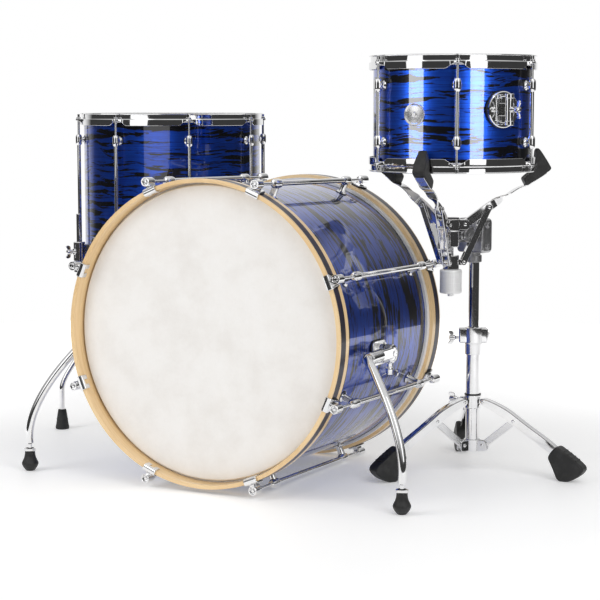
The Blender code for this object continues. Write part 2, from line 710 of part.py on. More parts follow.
bass_drum()
floor_tom()
rack_tom()
tripod()
stand_top()
basket()
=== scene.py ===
"""The looks of an acoustic drum kit: a bass drum on spurs, a floor tom on legs, a rack tom in a stand.

The shapes are made in millimetres, and piece() brings them to the frame's metres, +Z up, with the
audience towards -Y. Places, the lights and the camera are in metres. Each drum is made in its own frame,
+Z along the drum's axis, and placed as one; round things on the stand are made about its axis.
"""

import math
from collections import namedtuple

import bmesh
import bpy
from mathutils import Matrix, Vector


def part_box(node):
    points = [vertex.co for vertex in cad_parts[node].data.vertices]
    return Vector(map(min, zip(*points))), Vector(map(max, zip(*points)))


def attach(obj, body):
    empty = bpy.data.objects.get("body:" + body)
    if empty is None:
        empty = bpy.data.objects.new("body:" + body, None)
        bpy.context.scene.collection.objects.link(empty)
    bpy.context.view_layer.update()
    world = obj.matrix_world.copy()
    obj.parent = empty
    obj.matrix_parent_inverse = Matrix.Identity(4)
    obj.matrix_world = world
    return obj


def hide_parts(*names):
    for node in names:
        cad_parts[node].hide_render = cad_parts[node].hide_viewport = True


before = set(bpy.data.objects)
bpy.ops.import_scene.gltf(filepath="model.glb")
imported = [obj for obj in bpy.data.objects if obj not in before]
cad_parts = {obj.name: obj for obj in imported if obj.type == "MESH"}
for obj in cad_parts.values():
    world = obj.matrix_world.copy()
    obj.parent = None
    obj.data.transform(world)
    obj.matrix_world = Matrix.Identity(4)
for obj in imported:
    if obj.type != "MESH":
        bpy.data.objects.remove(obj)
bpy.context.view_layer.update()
MM = 0.001
OUT, UP = (1, 0, 0), (0, 0, 1)


def middle(*nodes):
    corners = [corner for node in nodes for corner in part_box(node)]
    return sum(corners, Vector()) / len(corners)


# ---------------------------------------------------------------- places and sizes

BASS_TILT = math.radians(1.06)
BASS_LENGTH = 462
WOOD_HOOP_R = 292.5
WOOD_HOOP_WALL = 8.2
WOOD_HOOP_DEPTH = 38

BASS_PLACE = (
    Matrix.Translation(middle("bass_front_head", "bass_batter_head"))
    @ Matrix.Rotation(-math.pi / 2 - BASS_TILT, 4, "X")
    @ Matrix.Translation((0, 0, -BASS_LENGTH * MM / 2))
)
FLOOR_TOM_AT = middle("floor_tom_batter_head") * Vector((1, 1, 0))
STAND_AT = middle("stand_upper_tube") * Vector((1, 1, 0))
BASKET_AT = middle("basket_knob") * Vector((1, 1, 0))

Drum = namedtuple("Drum", "name body place radius wall low high rod_r lugs phase posts scale")
BASS = Drum("bass", "bass_drum", BASS_PLACE, 279.4, 7.5, 27.8, 434.2, 307, 8, 22.5, (82, 378), 1.2)
FLOOR_TOM = Drum("floor_tom", "floor_tom", Matrix.Translation(FLOOR_TOM_AT), 203.2, 6.5, 294.8, 701.2, 216.8,
                 8, -3.4, (347, 649), 1.0)
RACK_TOM = Drum("rack_tom", "rack_tom", Matrix.Translation(BASKET_AT), 152.4, 6, 610.5, 813.7, 166, 6, -64.6,
                (659, 765), 1.0)

LEG_ANGLES = (-115.9, 19.1, 154.1)
TRIPOD_ANGLES = (-2.0, 118.0, 238.0)
ARM_ANGLES = (36.0, 159.0, 274.0)
MOUNT_ANGLE = -32.0
CLAMP_SCREW_ANGLE = 207.4
COLLAR_SCREW_ANGLE = 185.0
COLLAR_PIVOT = (25, 141.3)
KNEE_PIVOT = (90.5, 109)
HUB_PIVOT = (24, 54.3)
ARM_PIVOT = (26, 498.5)
ARM_STRUT_PIVOT = (73.5, 531.2)
LOWER_HUB_PIVOT = (24, 425)

# ---------------------------------------------------------------- shapes


def shape(bm, bevel=0.0, steps=2, sharp=30):
    """A mesh from bm, facing out, with its sharp edges rounded over by bevel."""
    bmesh.ops.recalc_face_normals(bm, faces=bm.faces)
    if bevel:
        limit = math.radians(sharp)
        edges = [e for e in bm.edges if len(e.link_faces) == 2 and e.calc_face_angle(0) > limit]
        bmesh.ops.bevel(bm, geom=edges, offset=bevel, offset_type="OFFSET", segments=steps, profile=0.5,
                        affect="EDGES", clamp_overlap=True)
    mesh = bpy.data.meshes.new("shape")
    bm.to_mesh(mesh)
    bm.free()
    return mesh


def moved(mesh, matrix):
    mesh.transform(matrix)
    return mesh


def shift(x, y, z):
    return Matrix.Translation((x, y, z))


def turn(degrees):
    return Matrix.Rotation(math.radians(degrees), 4, "Z")


def facing(start, direction, roll=None):
    """A matrix that takes +Z at the origin to direction at start, and +X as near to roll as it can."""
    ahead = Vector(direction).normalized()
    side = Vector(roll) if roll is not None else ahead.orthogonal()
    side = (side - ahead * side.dot(ahead)).normalized()
    axes = Matrix((side, ahead.cross(side), ahead)).transposed().to_4x4()
    return Matrix.Translation(Vector(start)) @ axes


def arc(centre, radius, first, last, count):
    angles = [math.radians(first + (last - first) * i / (count - 1)) for i in range(count)]
    return [(centre[0] + radius * math.cos(a), centre[1] + radius * math.sin(a)) for a in angles]


def bend(first, corner, last, steps):
    """Points of a curve that leaves first and reaches last, heading for corner and away from it."""
    shares = [step / steps for step in range(steps + 1)]
    return [first * (1 - t) ** 2 + corner * 2 * t * (1 - t) + last * t ** 2 for t in shares]


def rounded(points, radius, steps=4):
    """A flat outline with every corner rounded off to about radius."""
    points = [Vector(point) for point in points]
    count = len(points)
    result = []
    for i, corner in enumerate(points):
        before, after = points[i - 1] - corner, points[(i + 1) % count] - corner
        reach = min(radius, before.length * 0.45, after.length * 0.45)
        first = corner + before.normalized() * reach
        last = corner + after.normalized() * reach
        result += bend(first, corner, last, steps)
    return result


def smooth(points, steps=6):
    """A smooth curve through points of any number of coordinates."""
    points = [Vector(point) for point in points]
    padded = [points[0] * 2 - points[1]] + points + [points[-1] * 2 - points[-2]]
    result = []
    for a, b, c, d in zip(padded, padded[1:], padded[2:], padded[3:]):
        for step in range(steps):
            t = step / steps
            result.append((b * 2 + (c - a) * t + (a * 2 - b * 5 + c * 4 - d) * t * t
                           + (b * 3 - a - c * 3 + d) * t ** 3) / 2)
    return result + [points[-1]]


def block(low, high, bevel=1, steps=2):
    low, high = Vector(low), Vector(high)
    bm = bmesh.new()
    size = Matrix.Diagonal((*(high - low), 1))
    bmesh.ops.create_cube(bm, size=1.0, matrix=Matrix.Translation((low + high) / 2) @ size)
    return shape(bm, bevel, steps)


def loft(rings, looped=False):
    """A skin over rings of points, capped at both ends, or joined end to end where looped."""
    bm = bmesh.new()
    loops = [[bm.verts.new(point) for point in ring] for ring in rings]
    pairs = list(zip(loops, loops[1:]))
    if looped:
        pairs.append((loops[-1], loops[0]))
    for first, second in pairs:
        for i in range(len(first)):
            j = (i + 1) % len(first)
            bm.faces.new((first[i], first[j], second[j], second[i]))
    if not looped:
        bm.faces.new(loops[0][::-1])
        bm.faces.new(loops[-1])
    return shape(bm)


def lathe(profile, steps=96):
    """A profile of (radius, height) points turned round Z: closed at the axis, or else a ring."""
    bm = bmesh.new()
    rings = []
    for radius, height in profile:
        if radius < 1e-6:
            rings.append([bm.verts.new((0, 0, height))])
            continue
        spokes = [math.tau * i / steps for i in range(steps)]
        rings.append([bm.verts.new((radius * math.cos(a), radius * math.sin(a), height)) for a in spokes])
    pairs = list(zip(rings, rings[1:]))
    if len(rings[0]) > 1:
        pairs.append((rings[-1], rings[0]))
    for first, second in pairs:
        for i in range(steps):
            corners = [first[i % len(first)], first[(i + 1) % len(first)], second[(i + 1) % len(second)],
                       second[i % len(second)]]
            unique = list(dict.fromkeys(corners))
            if len(unique) > 2:
                bm.faces.new(unique)
    return shape(bm)


def spindle(start, end, radius, steps):
    """A round bar from start to end with softened ends."""
    start, end = Vector(start), Vector(end)
    length, soft = (end - start).length, 0.6
    profile = [(0, 0), (radius - soft, 0), (radius, soft), (radius, length - soft), (radius - soft, length),
               (0, length)]
    return moved(lathe(profile, steps), facing(start, end - start))


def turned(profile, start, direction, steps=48):
    """A profile of (radius, distance) points turned round a line from start."""
    return moved(lathe(profile, steps), facing(start, direction))


def sweep(points, radius, sides):
    """A round bar along points."""
    points = [Vector(point) for point in points]
    last = len(points) - 1
    side = (points[1] - points[0]).orthogonal()
    rings = []
    for i, point in enumerate(points):
        ahead = (points[min(i + 1, last)] - points[max(i - 1, 0)]).normalized()
        side = (side - ahead * side.dot(ahead)).normalized()
        other = ahead.cross(side)
        spokes = [math.tau * k / sides for k in range(sides)]
        rings.append([point + (side * math.cos(a) + other * math.sin(a)) * radius for a in spokes])
    return loft(rings)


def plate(outline, thickness, angle, bevel):
    """A flat (radius, height) outline, thickened evenly about its plane, standing at an angle round Z."""
    bm = bmesh.new()
    sides = [[bm.verts.new((x, y, z)) for x, z in outline] for y in (-thickness / 2, thickness / 2)]
    bm.faces.new(sides[0])
    bm.faces.new(sides[1][::-1])
    for i in range(len(outline)):
        j = (i + 1) % len(outline)
        bm.faces.new((sides[0][i], sides[1][i], sides[1][j], sides[0][j]))
    return moved(shape(bm, bevel, sharp=60), turn(angle))


def pillow(outline, width, edge, angle=0, steps=5):
    """A moulded block: a flat outline across width whose two faces are rounded over by edge."""
    outline = [Vector(point) for point in outline]
    centre = sum(outline, Vector((0, 0))) / len(outline)
    span = max((point - centre).length for point in outline)
    rings = []
    for side in (-1, 1):
        stations = range(steps + 1) if side < 0 else range(steps, -1, -1)
        for step in stations:
            a = math.pi / 2 * step / steps
            across = side * (width / 2 - edge + edge * math.cos(a))
            shrink = 1 - edge / span * (1 - math.sin(a))
            rings.append([((centre + (p - centre) * shrink).x, across, (centre + (p - centre) * shrink).y)
                          for p in outline])
    return moved(loft(rings), turn(angle))


def around_all(meshes, angles):
    """Copies of the meshes at each of the angles round Z; the originals are removed."""
    copies = [moved(mesh.copy(), turn(angle)) for angle in angles for mesh in meshes]
    for mesh in meshes:
        bpy.data.meshes.remove(mesh)
    return copies


PIECES = []


def piece(name, meshes, finish, body, place=None, replaces=(), sharp=32):
    """One visible piece made of meshes in millimetres, riding on a body, in place of CAD nodes."""
    material, slot = finish
    bm = bmesh.new()
    for mesh in meshes:
        bm.from_mesh(mesh)
        bpy.data.meshes.remove(mesh)
    mesh = bpy.data.meshes.new(name)
    bm.to_mesh(mesh)
    bm.free()
    mesh.transform(Matrix.Scale(MM, 4))
    obj = bpy.data.objects.new(name, mesh)
    bpy.context.scene.collection.objects.link(obj)
    mesh.materials.append(material)
    mesh.shade_smooth()
    mesh.set_sharp_from_angle(angle=math.radians(sharp))
    if place is not None:
        obj.matrix_world = place
    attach(obj, body)
    if replaces:
        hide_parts(*replaces)
    PIECES.append(obj)


def weigh_normals():
    """Large faces keep their own normal, so that only the rounded edges between them bend the light."""
    for obj in PIECES:
        weighing = obj.modifiers.new("weigh_normals", "WEIGHTED_NORMAL")
        weighing.mode = "FACE_AREA_WITH_ANGLE"
        weighing.keep_sharp = True
    graph = bpy.context.evaluated_depsgraph_get()
    weighed = [bpy.data.meshes.new_from_object(obj.evaluated_get(graph)) for obj in PIECES]
    for obj, mesh in zip(PIECES, weighed):
        obj.modifiers.clear()
        old, name = obj.data, obj.data.name
        obj.data = mesh
        bpy.data.meshes.remove(old)
        mesh.name = name


# ---------------------------------------------------------------- materials


class Nodes:
    """Short ways to build a node tree."""

    def __init__(self, tree):
        self.tree = tree

    def node(self, kind, **settings):
        made = self.tree.nodes.new(kind)
        for key, value in settings.items():
            setattr(made, key, value)
        return made

    def put(self, source, socket):
        """A number or a colour goes on the socket itself, and a node's output is linked to it."""
        if isinstance(source, tuple):
            socket.default_value = (*source, 1.0)
        elif isinstance(source, (int, float)):
            socket.default_value = source
        else:
            self.tree.links.new(source, socket)

    def span(self, source, low, high, to_low=0.0, to_high=1.0):
        made = self.node("ShaderNodeMapRange")
        for socket, value in zip(("From Min", "From Max", "To Min", "To Max"), (low, high, to_low, to_high)):
            made.inputs[socket].default_value = value
        self.put(source, made.inputs["Value"])
        return made.outputs["Result"]

    def math(self, operation, first, second):
        made = self.node("ShaderNodeMath", operation=operation)
        self.put(first, made.inputs[0])
        self.put(second, made.inputs[1])
        return made.outputs[0]

    def along(self, place, direction):
        """How far a place is in a direction."""
        made = self.node("ShaderNodeVectorMath", operation="DOT_PRODUCT")
        made.inputs[1].default_value = direction
        self.put(place, made.inputs[0])
        return made.outputs["Value"]


class Surface(Nodes):
    """A Principled material and short ways to build its nodes."""

    def __init__(self, name, **sockets):
        self.material = bpy.data.materials.new(name)
        self.material.use_nodes = True
        super().__init__(self.material.node_tree)
        self.shader = self.tree.nodes["Principled BSDF"]
        for socket, value in sockets.items():
            self.shader.inputs[socket.replace("_", " ")].default_value = value
        self.place = self.node("ShaderNodeTexCoord").outputs["Object"]

    def stretched(self, scale, source=None):
        mapping = self.node("ShaderNodeMapping")
        mapping.inputs["Scale"].default_value = scale
        self.put(source or self.place, mapping.inputs["Vector"])
        return mapping.outputs["Vector"]

    def noise(self, scale, detail=3.0, rough=0.5, stretch=(1, 1, 1), source=None, distortion=0.0):
        made = self.node("ShaderNodeTexNoise")
        made.inputs["Scale"].default_value = scale
        made.inputs["Detail"].default_value = detail
        made.inputs["Roughness"].default_value = rough
        made.inputs["Distortion"].default_value = distortion
        self.put(self.stretched(stretch, source), made.inputs["Vector"])
        return made.outputs["Fac"]

    def shifted(self, source, amount):
        """The place moved along Z by the noise value times amount."""
        scaled = self.node("ShaderNodeVectorMath", operation="SCALE")
        scaled.inputs[0].default_value = (0, 0, amount)
        self.put(source, scaled.inputs["Scale"])
        added = self.node("ShaderNodeVectorMath", operation="ADD")
        self.put(self.place, added.inputs[0])
        self.put(scaled.outputs[0], added.inputs[1])
        return added.outputs[0]

    def ramp(self, source, stops):
        made = self.node("ShaderNodeValToRGB")
        points = made.color_ramp.elements
        while len(points) < len(stops):
            points.new(0.5)
        for point, (place, colour) in zip(points, stops):
            point.position = place
            point.color = (*colour, 1.0) if isinstance(colour, tuple) else (colour, colour, colour, 1.0)
        self.put(source, made.inputs["Fac"])
        return made.outputs["Color"]

    def mix(self, share, first, second):
        made = self.node("ShaderNodeMix", data_type="RGBA")
        for socket, value in zip((made.inputs[0], made.inputs[6], made.inputs[7]), (share, first, second)):
            self.put(value, socket)
        return made.outputs[2]

    def colour(self, source):
        self.put(source, self.shader.inputs["Base Color"])

    def rough(self, source, low, high):
        self.put(self.span(source, 0.3, 0.7, low, high), self.shader.inputs["Roughness"])

    def bump(self, source, strength, distance):
        made = self.node("ShaderNodeBump")
        made.inputs["Strength"].default_value = strength
        made.inputs["Distance"].default_value = distance
        self.put(source, made.inputs["Height"])
        self.put(made.outputs["Normal"], self.shader.inputs["Normal"])


def pearl_wrap():
    """Deep blue pearl plastic with ragged black streaks that run round the drum, under a clear gloss."""
    s = Surface("blue_pearl_wrap", Roughness=0.30, Coat_Weight=1.0, Coat_Roughness=0.012, Coat_IOR=1.55)
    drift = s.shifted(s.noise(5.0, 2.0), 0.050)
    broad = s.noise(1.0, 3.0, 0.55, (9.0, 9.0, 92.0), drift, 0.45)
    fine = s.noise(1.0, 3.0, 0.60, (13.0, 13.0, 185.0), drift, 0.30)
    patch = s.noise(1.0, 1.0, 0.5, (5.0, 5.0, 14.0))
    weight = s.math("ADD", broad, s.math("MULTIPLY", s.math("SUBTRACT", patch, 0.5), 0.34))
    bold = s.ramp(weight, [(0.0, 0.0), (0.525, 0.0), (0.540, 1.0), (1.0, 1.0)])
    thin = s.ramp(fine, [(0.0, 0.0), (0.590, 0.0), (0.612, 1.0), (1.0, 1.0)])
    streaks = s.math("MAXIMUM", bold, thin)
    satin = s.noise(1.0, 3.0, 0.6, (6.0, 6.0, 420.0))
    blue = s.mix(s.span(satin, 0.30, 0.70), (0.004, 0.034, 0.30), (0.008, 0.085, 0.60))
    s.colour(s.mix(streaks, blue, (0.0010, 0.0012, 0.0035)))
    s.put(s.span(streaks, 0, 1, 0.85, 0.0), s.shader.inputs["Metallic"])
    s.put(s.span(streaks, 0, 1, 0.50, 0.12), s.shader.inputs["Specular IOR Level"])
    s.bump(s.noise(9.0, 2.0), 0.02, 0.002)
    return s.material


def inlay_band():
    """A thin dark strip of the pearl, let into the wood."""
    s = Surface("navy_inlay", Roughness=0.40, Coat_Weight=0.22, Coat_Roughness=0.10)
    streak = s.noise(1.0, 3.0, 0.6, (9.0, 9.0, 260.0), s.shifted(s.noise(6.0, 2.0), 0.030))
    s.colour(s.ramp(streak, [(0.40, (0.020, 0.012, 0.038)), (0.60, (0.005, 0.003, 0.008))]))
    s.bump(s.noise(9.0, 2.0), 0.02, 0.002)
    return s.material


def coated_film():
    s = Surface("coated_film", Roughness=0.62, Specular_IOR_Level=0.35)
    clouds = s.noise(14.0, 6.0, 0.62)
    fibre = s.noise(1.0, 5.0, 0.65, (260.0, 90.0, 260.0), None, 0.8)
    cross = s.noise(1.0, 5.0, 0.65, (90.0, 90.0, 320.0), None, 0.8)
    tint = s.ramp(clouds, [(0.30, (0.80, 0.775, 0.745)), (0.55, (0.865, 0.848, 0.825)),
                           (0.75, (0.885, 0.872, 0.855))])
    flecks = s.span(s.math("MULTIPLY", fibre, cross), 0.15, 0.40, 0.0, 0.10)
    s.colour(s.mix(flecks, tint, (0.66, 0.64, 0.61)))
    s.bump(s.math("ADD", fibre, cross), 0.18, 0.0004)
    return s.material


def maple():
    s = Surface("clear_maple", Roughness=0.30, Coat_Weight=0.55, Coat_Roughness=0.10)
    grain = s.noise(1.0, 5.0, 0.6, (5.0, 5.0, 150.0), None, 0.4)
    pores = s.noise(1.0, 3.0, 0.6, (14.0, 14.0, 620.0))
    wide = s.noise(3.0, 2.0)
    base = s.ramp(grain, [(0.28, (0.70, 0.46, 0.215)), (0.52, (0.84, 0.605, 0.325)),
                          (0.78, (0.90, 0.69, 0.41))])
    base = s.mix(s.span(pores, 0.60, 0.78, 0.0, 0.35), base, (0.50, 0.30, 0.13))
    s.colour(s.mix(s.span(wide, 0.35, 0.75, 0.0, 0.25), base, (0.76, 0.52, 0.27)))
    s.rough(grain, 0.34, 0.26)
    s.bump(grain, 0.05, 0.0008)
    return s.material


def plated(name, colour, low, high):
    """Polished plate: bright, with faint smears in its gloss and a barely uneven surface."""
    s = Surface(name, Metallic=1.0)
    smear = s.noise(38.0, 4.0, 0.6)
    spots = s.noise(420.0, 2.0, 0.6)
    dull = tuple(part * 0.90 for part in colour)
    s.colour(s.mix(s.span(smear, 0.35, 0.75, 0.0, 1.0), colour, dull))
    s.rough(s.math("ADD", s.math("MULTIPLY", smear, 0.8), s.math("MULTIPLY", spots, 0.2)), low, high)
    s.bump(smear, 0.015, 0.001)
    return s.material


def brushed(name, colour, low, high, stretch, metallic=1.0):
    s = Surface(name, Metallic=metallic)
    lines = s.noise(1.0, 4.0, 0.65, stretch)
    smear = s.noise(45.0, 3.0)
    s.colour(s.mix(s.span(lines, 0.3, 0.7), tuple(part * 0.86 for part in colour), colour))
    s.rough(s.math("ADD", s.math("MULTIPLY", lines, 0.5), s.math("MULTIPLY", smear, 0.5)), low, high)
    s.bump(lines, 0.08, 0.0003)
    return s.material


def moulded(name, colour, low, high):
    """Rubber or matte plastic: a fine skin, a little bloom and scuffs."""
    s = Surface(name, Specular_IOR_Level=0.42)
    skin = s.noise(1500.0, 3.0, 0.6)
    bloom = s.noise(60.0, 5.0, 0.65)
    grey = tuple(min(1.0, part * 1.9 + 0.012) for part in colour)
    s.colour(s.mix(s.span(bloom, 0.45, 0.80), colour, grey))
    s.rough(bloom, low, high)
    s.bump(s.math("ADD", skin, s.math("MULTIPLY", bloom, 0.6)), 0.22, 0.0002)
    return s.material


# Each finish is a material and the name of a slot; piece() uses only the material.
WRAP = pearl_wrap(), "shell_wrap"
FILM = coated_film(), "drum_head"
MAPLE = maple(), "maple_hoop"
CHROME = plated("chrome", (0.86, 0.86, 0.865), 0.035, 0.085), "chrome"
HOOP_CHROME = plated("hoop_chrome", (0.88, 0.88, 0.885), 0.03, 0.07), "chrome_hoop"
ALUMINIUM = brushed("flesh_ring_aluminium", (0.93, 0.93, 0.94), 0.34, 0.48, (60.0, 60.0, 900.0),
                    0.22), "satin_aluminium"
KNOB_METAL = brushed("turned_aluminium", (0.92, 0.92, 0.92), 0.36, 0.46, (50.0, 50.0, 1400.0),
                     0.45), "satin_aluminium"
PRESSED = brushed("pressed_plate", (0.88, 0.88, 0.89), 0.20, 0.32, (90.0, 90.0, 90.0), 0.85), "chrome"
STEEL = brushed("bright_steel", (0.84, 0.84, 0.85), 0.16, 0.26, (300.0, 300.0, 300.0)), "satin_steel"
CAST = brushed("satin_casting", (0.50, 0.50, 0.51), 0.26, 0.40, (220.0, 220.0, 220.0)), "satin_steel"
RUBBER = moulded("black_rubber", (0.014, 0.014, 0.014), 0.42, 0.60), "black_rubber"
GASKET = moulded("gasket_rubber", (0.010, 0.010, 0.011), 0.50, 0.68), "black_rubber"
PLASTIC = moulded("black_nylon", (0.012, 0.012, 0.013), 0.30, 0.42), "black_rubber"
INLAY = inlay_band(), "shell_wrap"


# ---------------------------------------------------------------- small hardware


def pad(near, far, low, high, radius, edge):
    """A flat pad of rounded corners between two distances out, from its low corner (y, z) to its high one."""
    outline = rounded([low, (high[0], low[1]), high, (low[0], high[1])], radius, 6)
    return moved(pillow(outline, far - near, edge, 90, 3), shift((near + far) / 2, 0, 0))


def lug_angles(drum):
    return [drum.phase + i * 360.0 / drum.lugs for i in range(drum.lugs)]


def wing_screw(base, direction, wing, reach=22, span=30, stout=1.0):
    """A turned hub with two rounded wings. base is its inner end."""
    half = span / 2
    hub = [(0, 0), (3.4, 0), (3.4, reach * 0.24), (5.2, reach * 0.32), (6, reach * 0.44), (5.4, reach * 0.74),
           (4.4, reach * 0.86), (2, reach * 0.90), (0, reach * 0.90)]
    hub = [(radius * (1 + (stout - 1) * 0.45), height) for radius, height in hub]
    right = [(half * 0.20, reach * 0.50), (half * 0.62, reach * 0.42), (half * 0.98, reach * 0.56),
             (half, reach * 0.86), (half * 0.82, reach), (half * 0.55, reach * 0.90),
             (half * 0.20, reach * 0.72)]
    outline = rounded(right + [(-x, z) for x, z in reversed(right)], 3.4, 4)
    blades = plate(outline, 3.2 * stout, 0, 1.1)
    place = facing(base, direction, wing)
    return [moved(lathe(hub, 40), place), moved(blades, place)]


def rivet(angle, point, half):
    """The two dished ends of a hollow pivot pin that stands across a link at an angle round Z."""
    radius = 3.4
    dome = [(0, 0), (radius, 0), (radius, 0.5), (radius * 0.80, 1.2), (radius * 0.46, 1.4),
            (radius * 0.40, 0.6), (0, 0.6)]
    heads = []
    for side in (-1, 1):
        start = turn(angle) @ Vector((point[0], side * half, point[1]))
        heads.append(turned(dome, start, turn(angle) @ Vector((0, side, 0)), 28))
    return heads


def hex_bolt(start, direction, size, height):
    """A chamfered hexagon head on a thin washer."""
    place = facing(start, direction)
    head = lathe([(0, 0.8), (size * 0.92, 0.8), (size, 1.3), (size, height), (size * 0.86, height + 0.6),
                  (0, height + 0.6)], 6)
    washer = lathe([(0, 0), (size * 1.25, 0), (size * 1.25, 0.7), (size * 1.15, 1), (0, 1)], 36)
    return [moved(head, place), moved(washer, place)]


def key_head(radius, start, side):
    """The square head, collar and washer of a tension rod that stands on a surface at start."""
    low, high = sorted((start + side * 4.2, start + side * 11.2))
    head = block((radius - 2.7, -2.7, low), (radius + 2.7, 2.7, high), 0.7)
    seat = [(0, 0), (6.5, 0), (6.5, 0.8), (6.1, 1.2), (4.8, 1.3), (4.8, 3.8), (4.3, 4.4), (0, 4.4)]
    return [head, turned(seat, (radius, 0, start), (0, 0, side), 36)]


# ---------------------------------------------------------------- drums


def shell(drum, nodes):
    """The wrapped shell: a thin skin of wrap, the maple plies with their bearing edges, and its lugs."""
    r, wall, low, high = drum.radius, drum.wall, drum.low, drum.high
    skin = [(r - 0.8, high - 4.2), (r - 0.3, high - 4), (r, high - 4.6), (r, low + 4.6), (r - 0.3, low + 4),
            (r - 0.8, low + 4.2)]
    plies = [(r - 0.8, high - 3), (r - 3.2, high - 0.3), (r - 4.4, high - 0.3), (r - wall, high - 3.6),
             (r - wall, low + 3.6), (r - 4.4, low + 0.3), (r - 3.2, low + 0.3), (r - 0.8, low + 3)]
    piece(drum.name + "_wrap", [lathe(skin, 256)], WRAP, drum.body, drum.place, nodes)
    piece(drum.name + "_plies", [lathe(plies, 192)], MAPLE, drum.body, drum.place)
    scale, reach = drum.scale, drum.rod_r - r
    barrel = [(0, -12.5), (3.6, -12.5), (5.2, -11.8), (7.2, -8), (7.4, -4), (7.4, 4), (7.2, 8), (5.2, 11.8),
              (3.6, 12.5), (0, 12.5)]
    barrel = [(radius * scale, height * scale) for radius, height in barrel]
    foot = [(0, 0.8), (9 * scale, 0.8), (9 * scale, 1.8), (6.2 * scale, 4.2), (5.5 * scale, reach * 0.45),
            (6 * scale, reach * 0.72), (0, reach * 0.72)]
    washer = [(0, -0.4), (9.8 * scale, -0.4), (9.8 * scale, 0.6), (9.4 * scale, 0.9), (0, 0.9)]
    low_post, high_post = drum.posts
    chrome = [spindle((drum.rod_r, 0, low_post), (drum.rod_r, 0, high_post), 4.2 * scale, 36)]
    rubber = []
    for height in drum.posts:
        chrome.append(turned(barrel, (drum.rod_r, 0, height), UP, 44))
        chrome.append(turned(foot, (r, 0, height), OUT, 40))
        rubber.append(turned(washer, (r, 0, height), OUT, 40))
    angles = lug_angles(drum)
    piece(drum.name + "_lugs", around_all(chrome, angles), CHROME, drum.body, drum.place)
    piece(drum.name + "_lug_gaskets", around_all(rubber, angles), GASKET, drum.body, drum.place)


def head(drum, name, edge, side, node):
    """A coated film drawn over the bearing edge, and the aluminium flesh ring that holds it."""
    r = drum.radius
    depth, tall = (10.1, 10) if drum is BASS else (7.7, 4)
    film = [(0, 0.6), (r - 12, 0.6), (r - 4, 0.4), (r - 1, -0.2), (r + 0.6, -1.8), (r + 1.3, -4.2),
            (r + 1.5, -depth), (r + 0.9, -depth), (r + 0.6, -4.2), (r - 0.2, -2.2), (r - 2.4, -0.1),
            (r - 4, 0.1), (0, 0.1)]
    wide = 6.4 if drum is BASS else 5.6
    ring = [(r + 0.6, -depth), (r + wide - 0.6, -depth), (r + wide, -depth - 0.6),
            (r + wide, -depth - tall + 0.6), (r + wide - 0.6, -depth - tall), (r + 0.6, -depth - tall)]
    films = [lathe([(radius, edge + side * out) for radius, out in film], 192)]
    rings = [lathe([(radius, edge + side * out) for radius, out in ring], 192)]
    piece(name + "_film", films, FILM, drum.body, drum.place, (node,))
    piece(name + "_flesh_ring", rings, ALUMINIUM, drum.body, drum.place)


def strap(path, width, thickness):
    """A pressed strap along (radius, height) points. width gives its full width at a share of the way."""
    points = smooth(path, 6)
    last = len(points) - 1
    rings = []
    for i, point in enumerate(points):
        ahead = (points[min(i + 1, last)] - points[max(i - 1, 0)]).normalized()
        out = Vector((-ahead.y, ahead.x))
        half, soft, deep = width(i / last) / 2, 0.9, thickness / 2
        corners = [(half, -deep + soft), (half, deep - soft), (half - soft, deep), (soft - half, deep),
                   (-half, deep - soft), (-half, soft - deep), (soft - half, -deep), (half - soft, -deep)]
        rings.append([(point.x + out.x * up, across, point.y + out.y * up) for across, up in corners])
    return loft(rings)


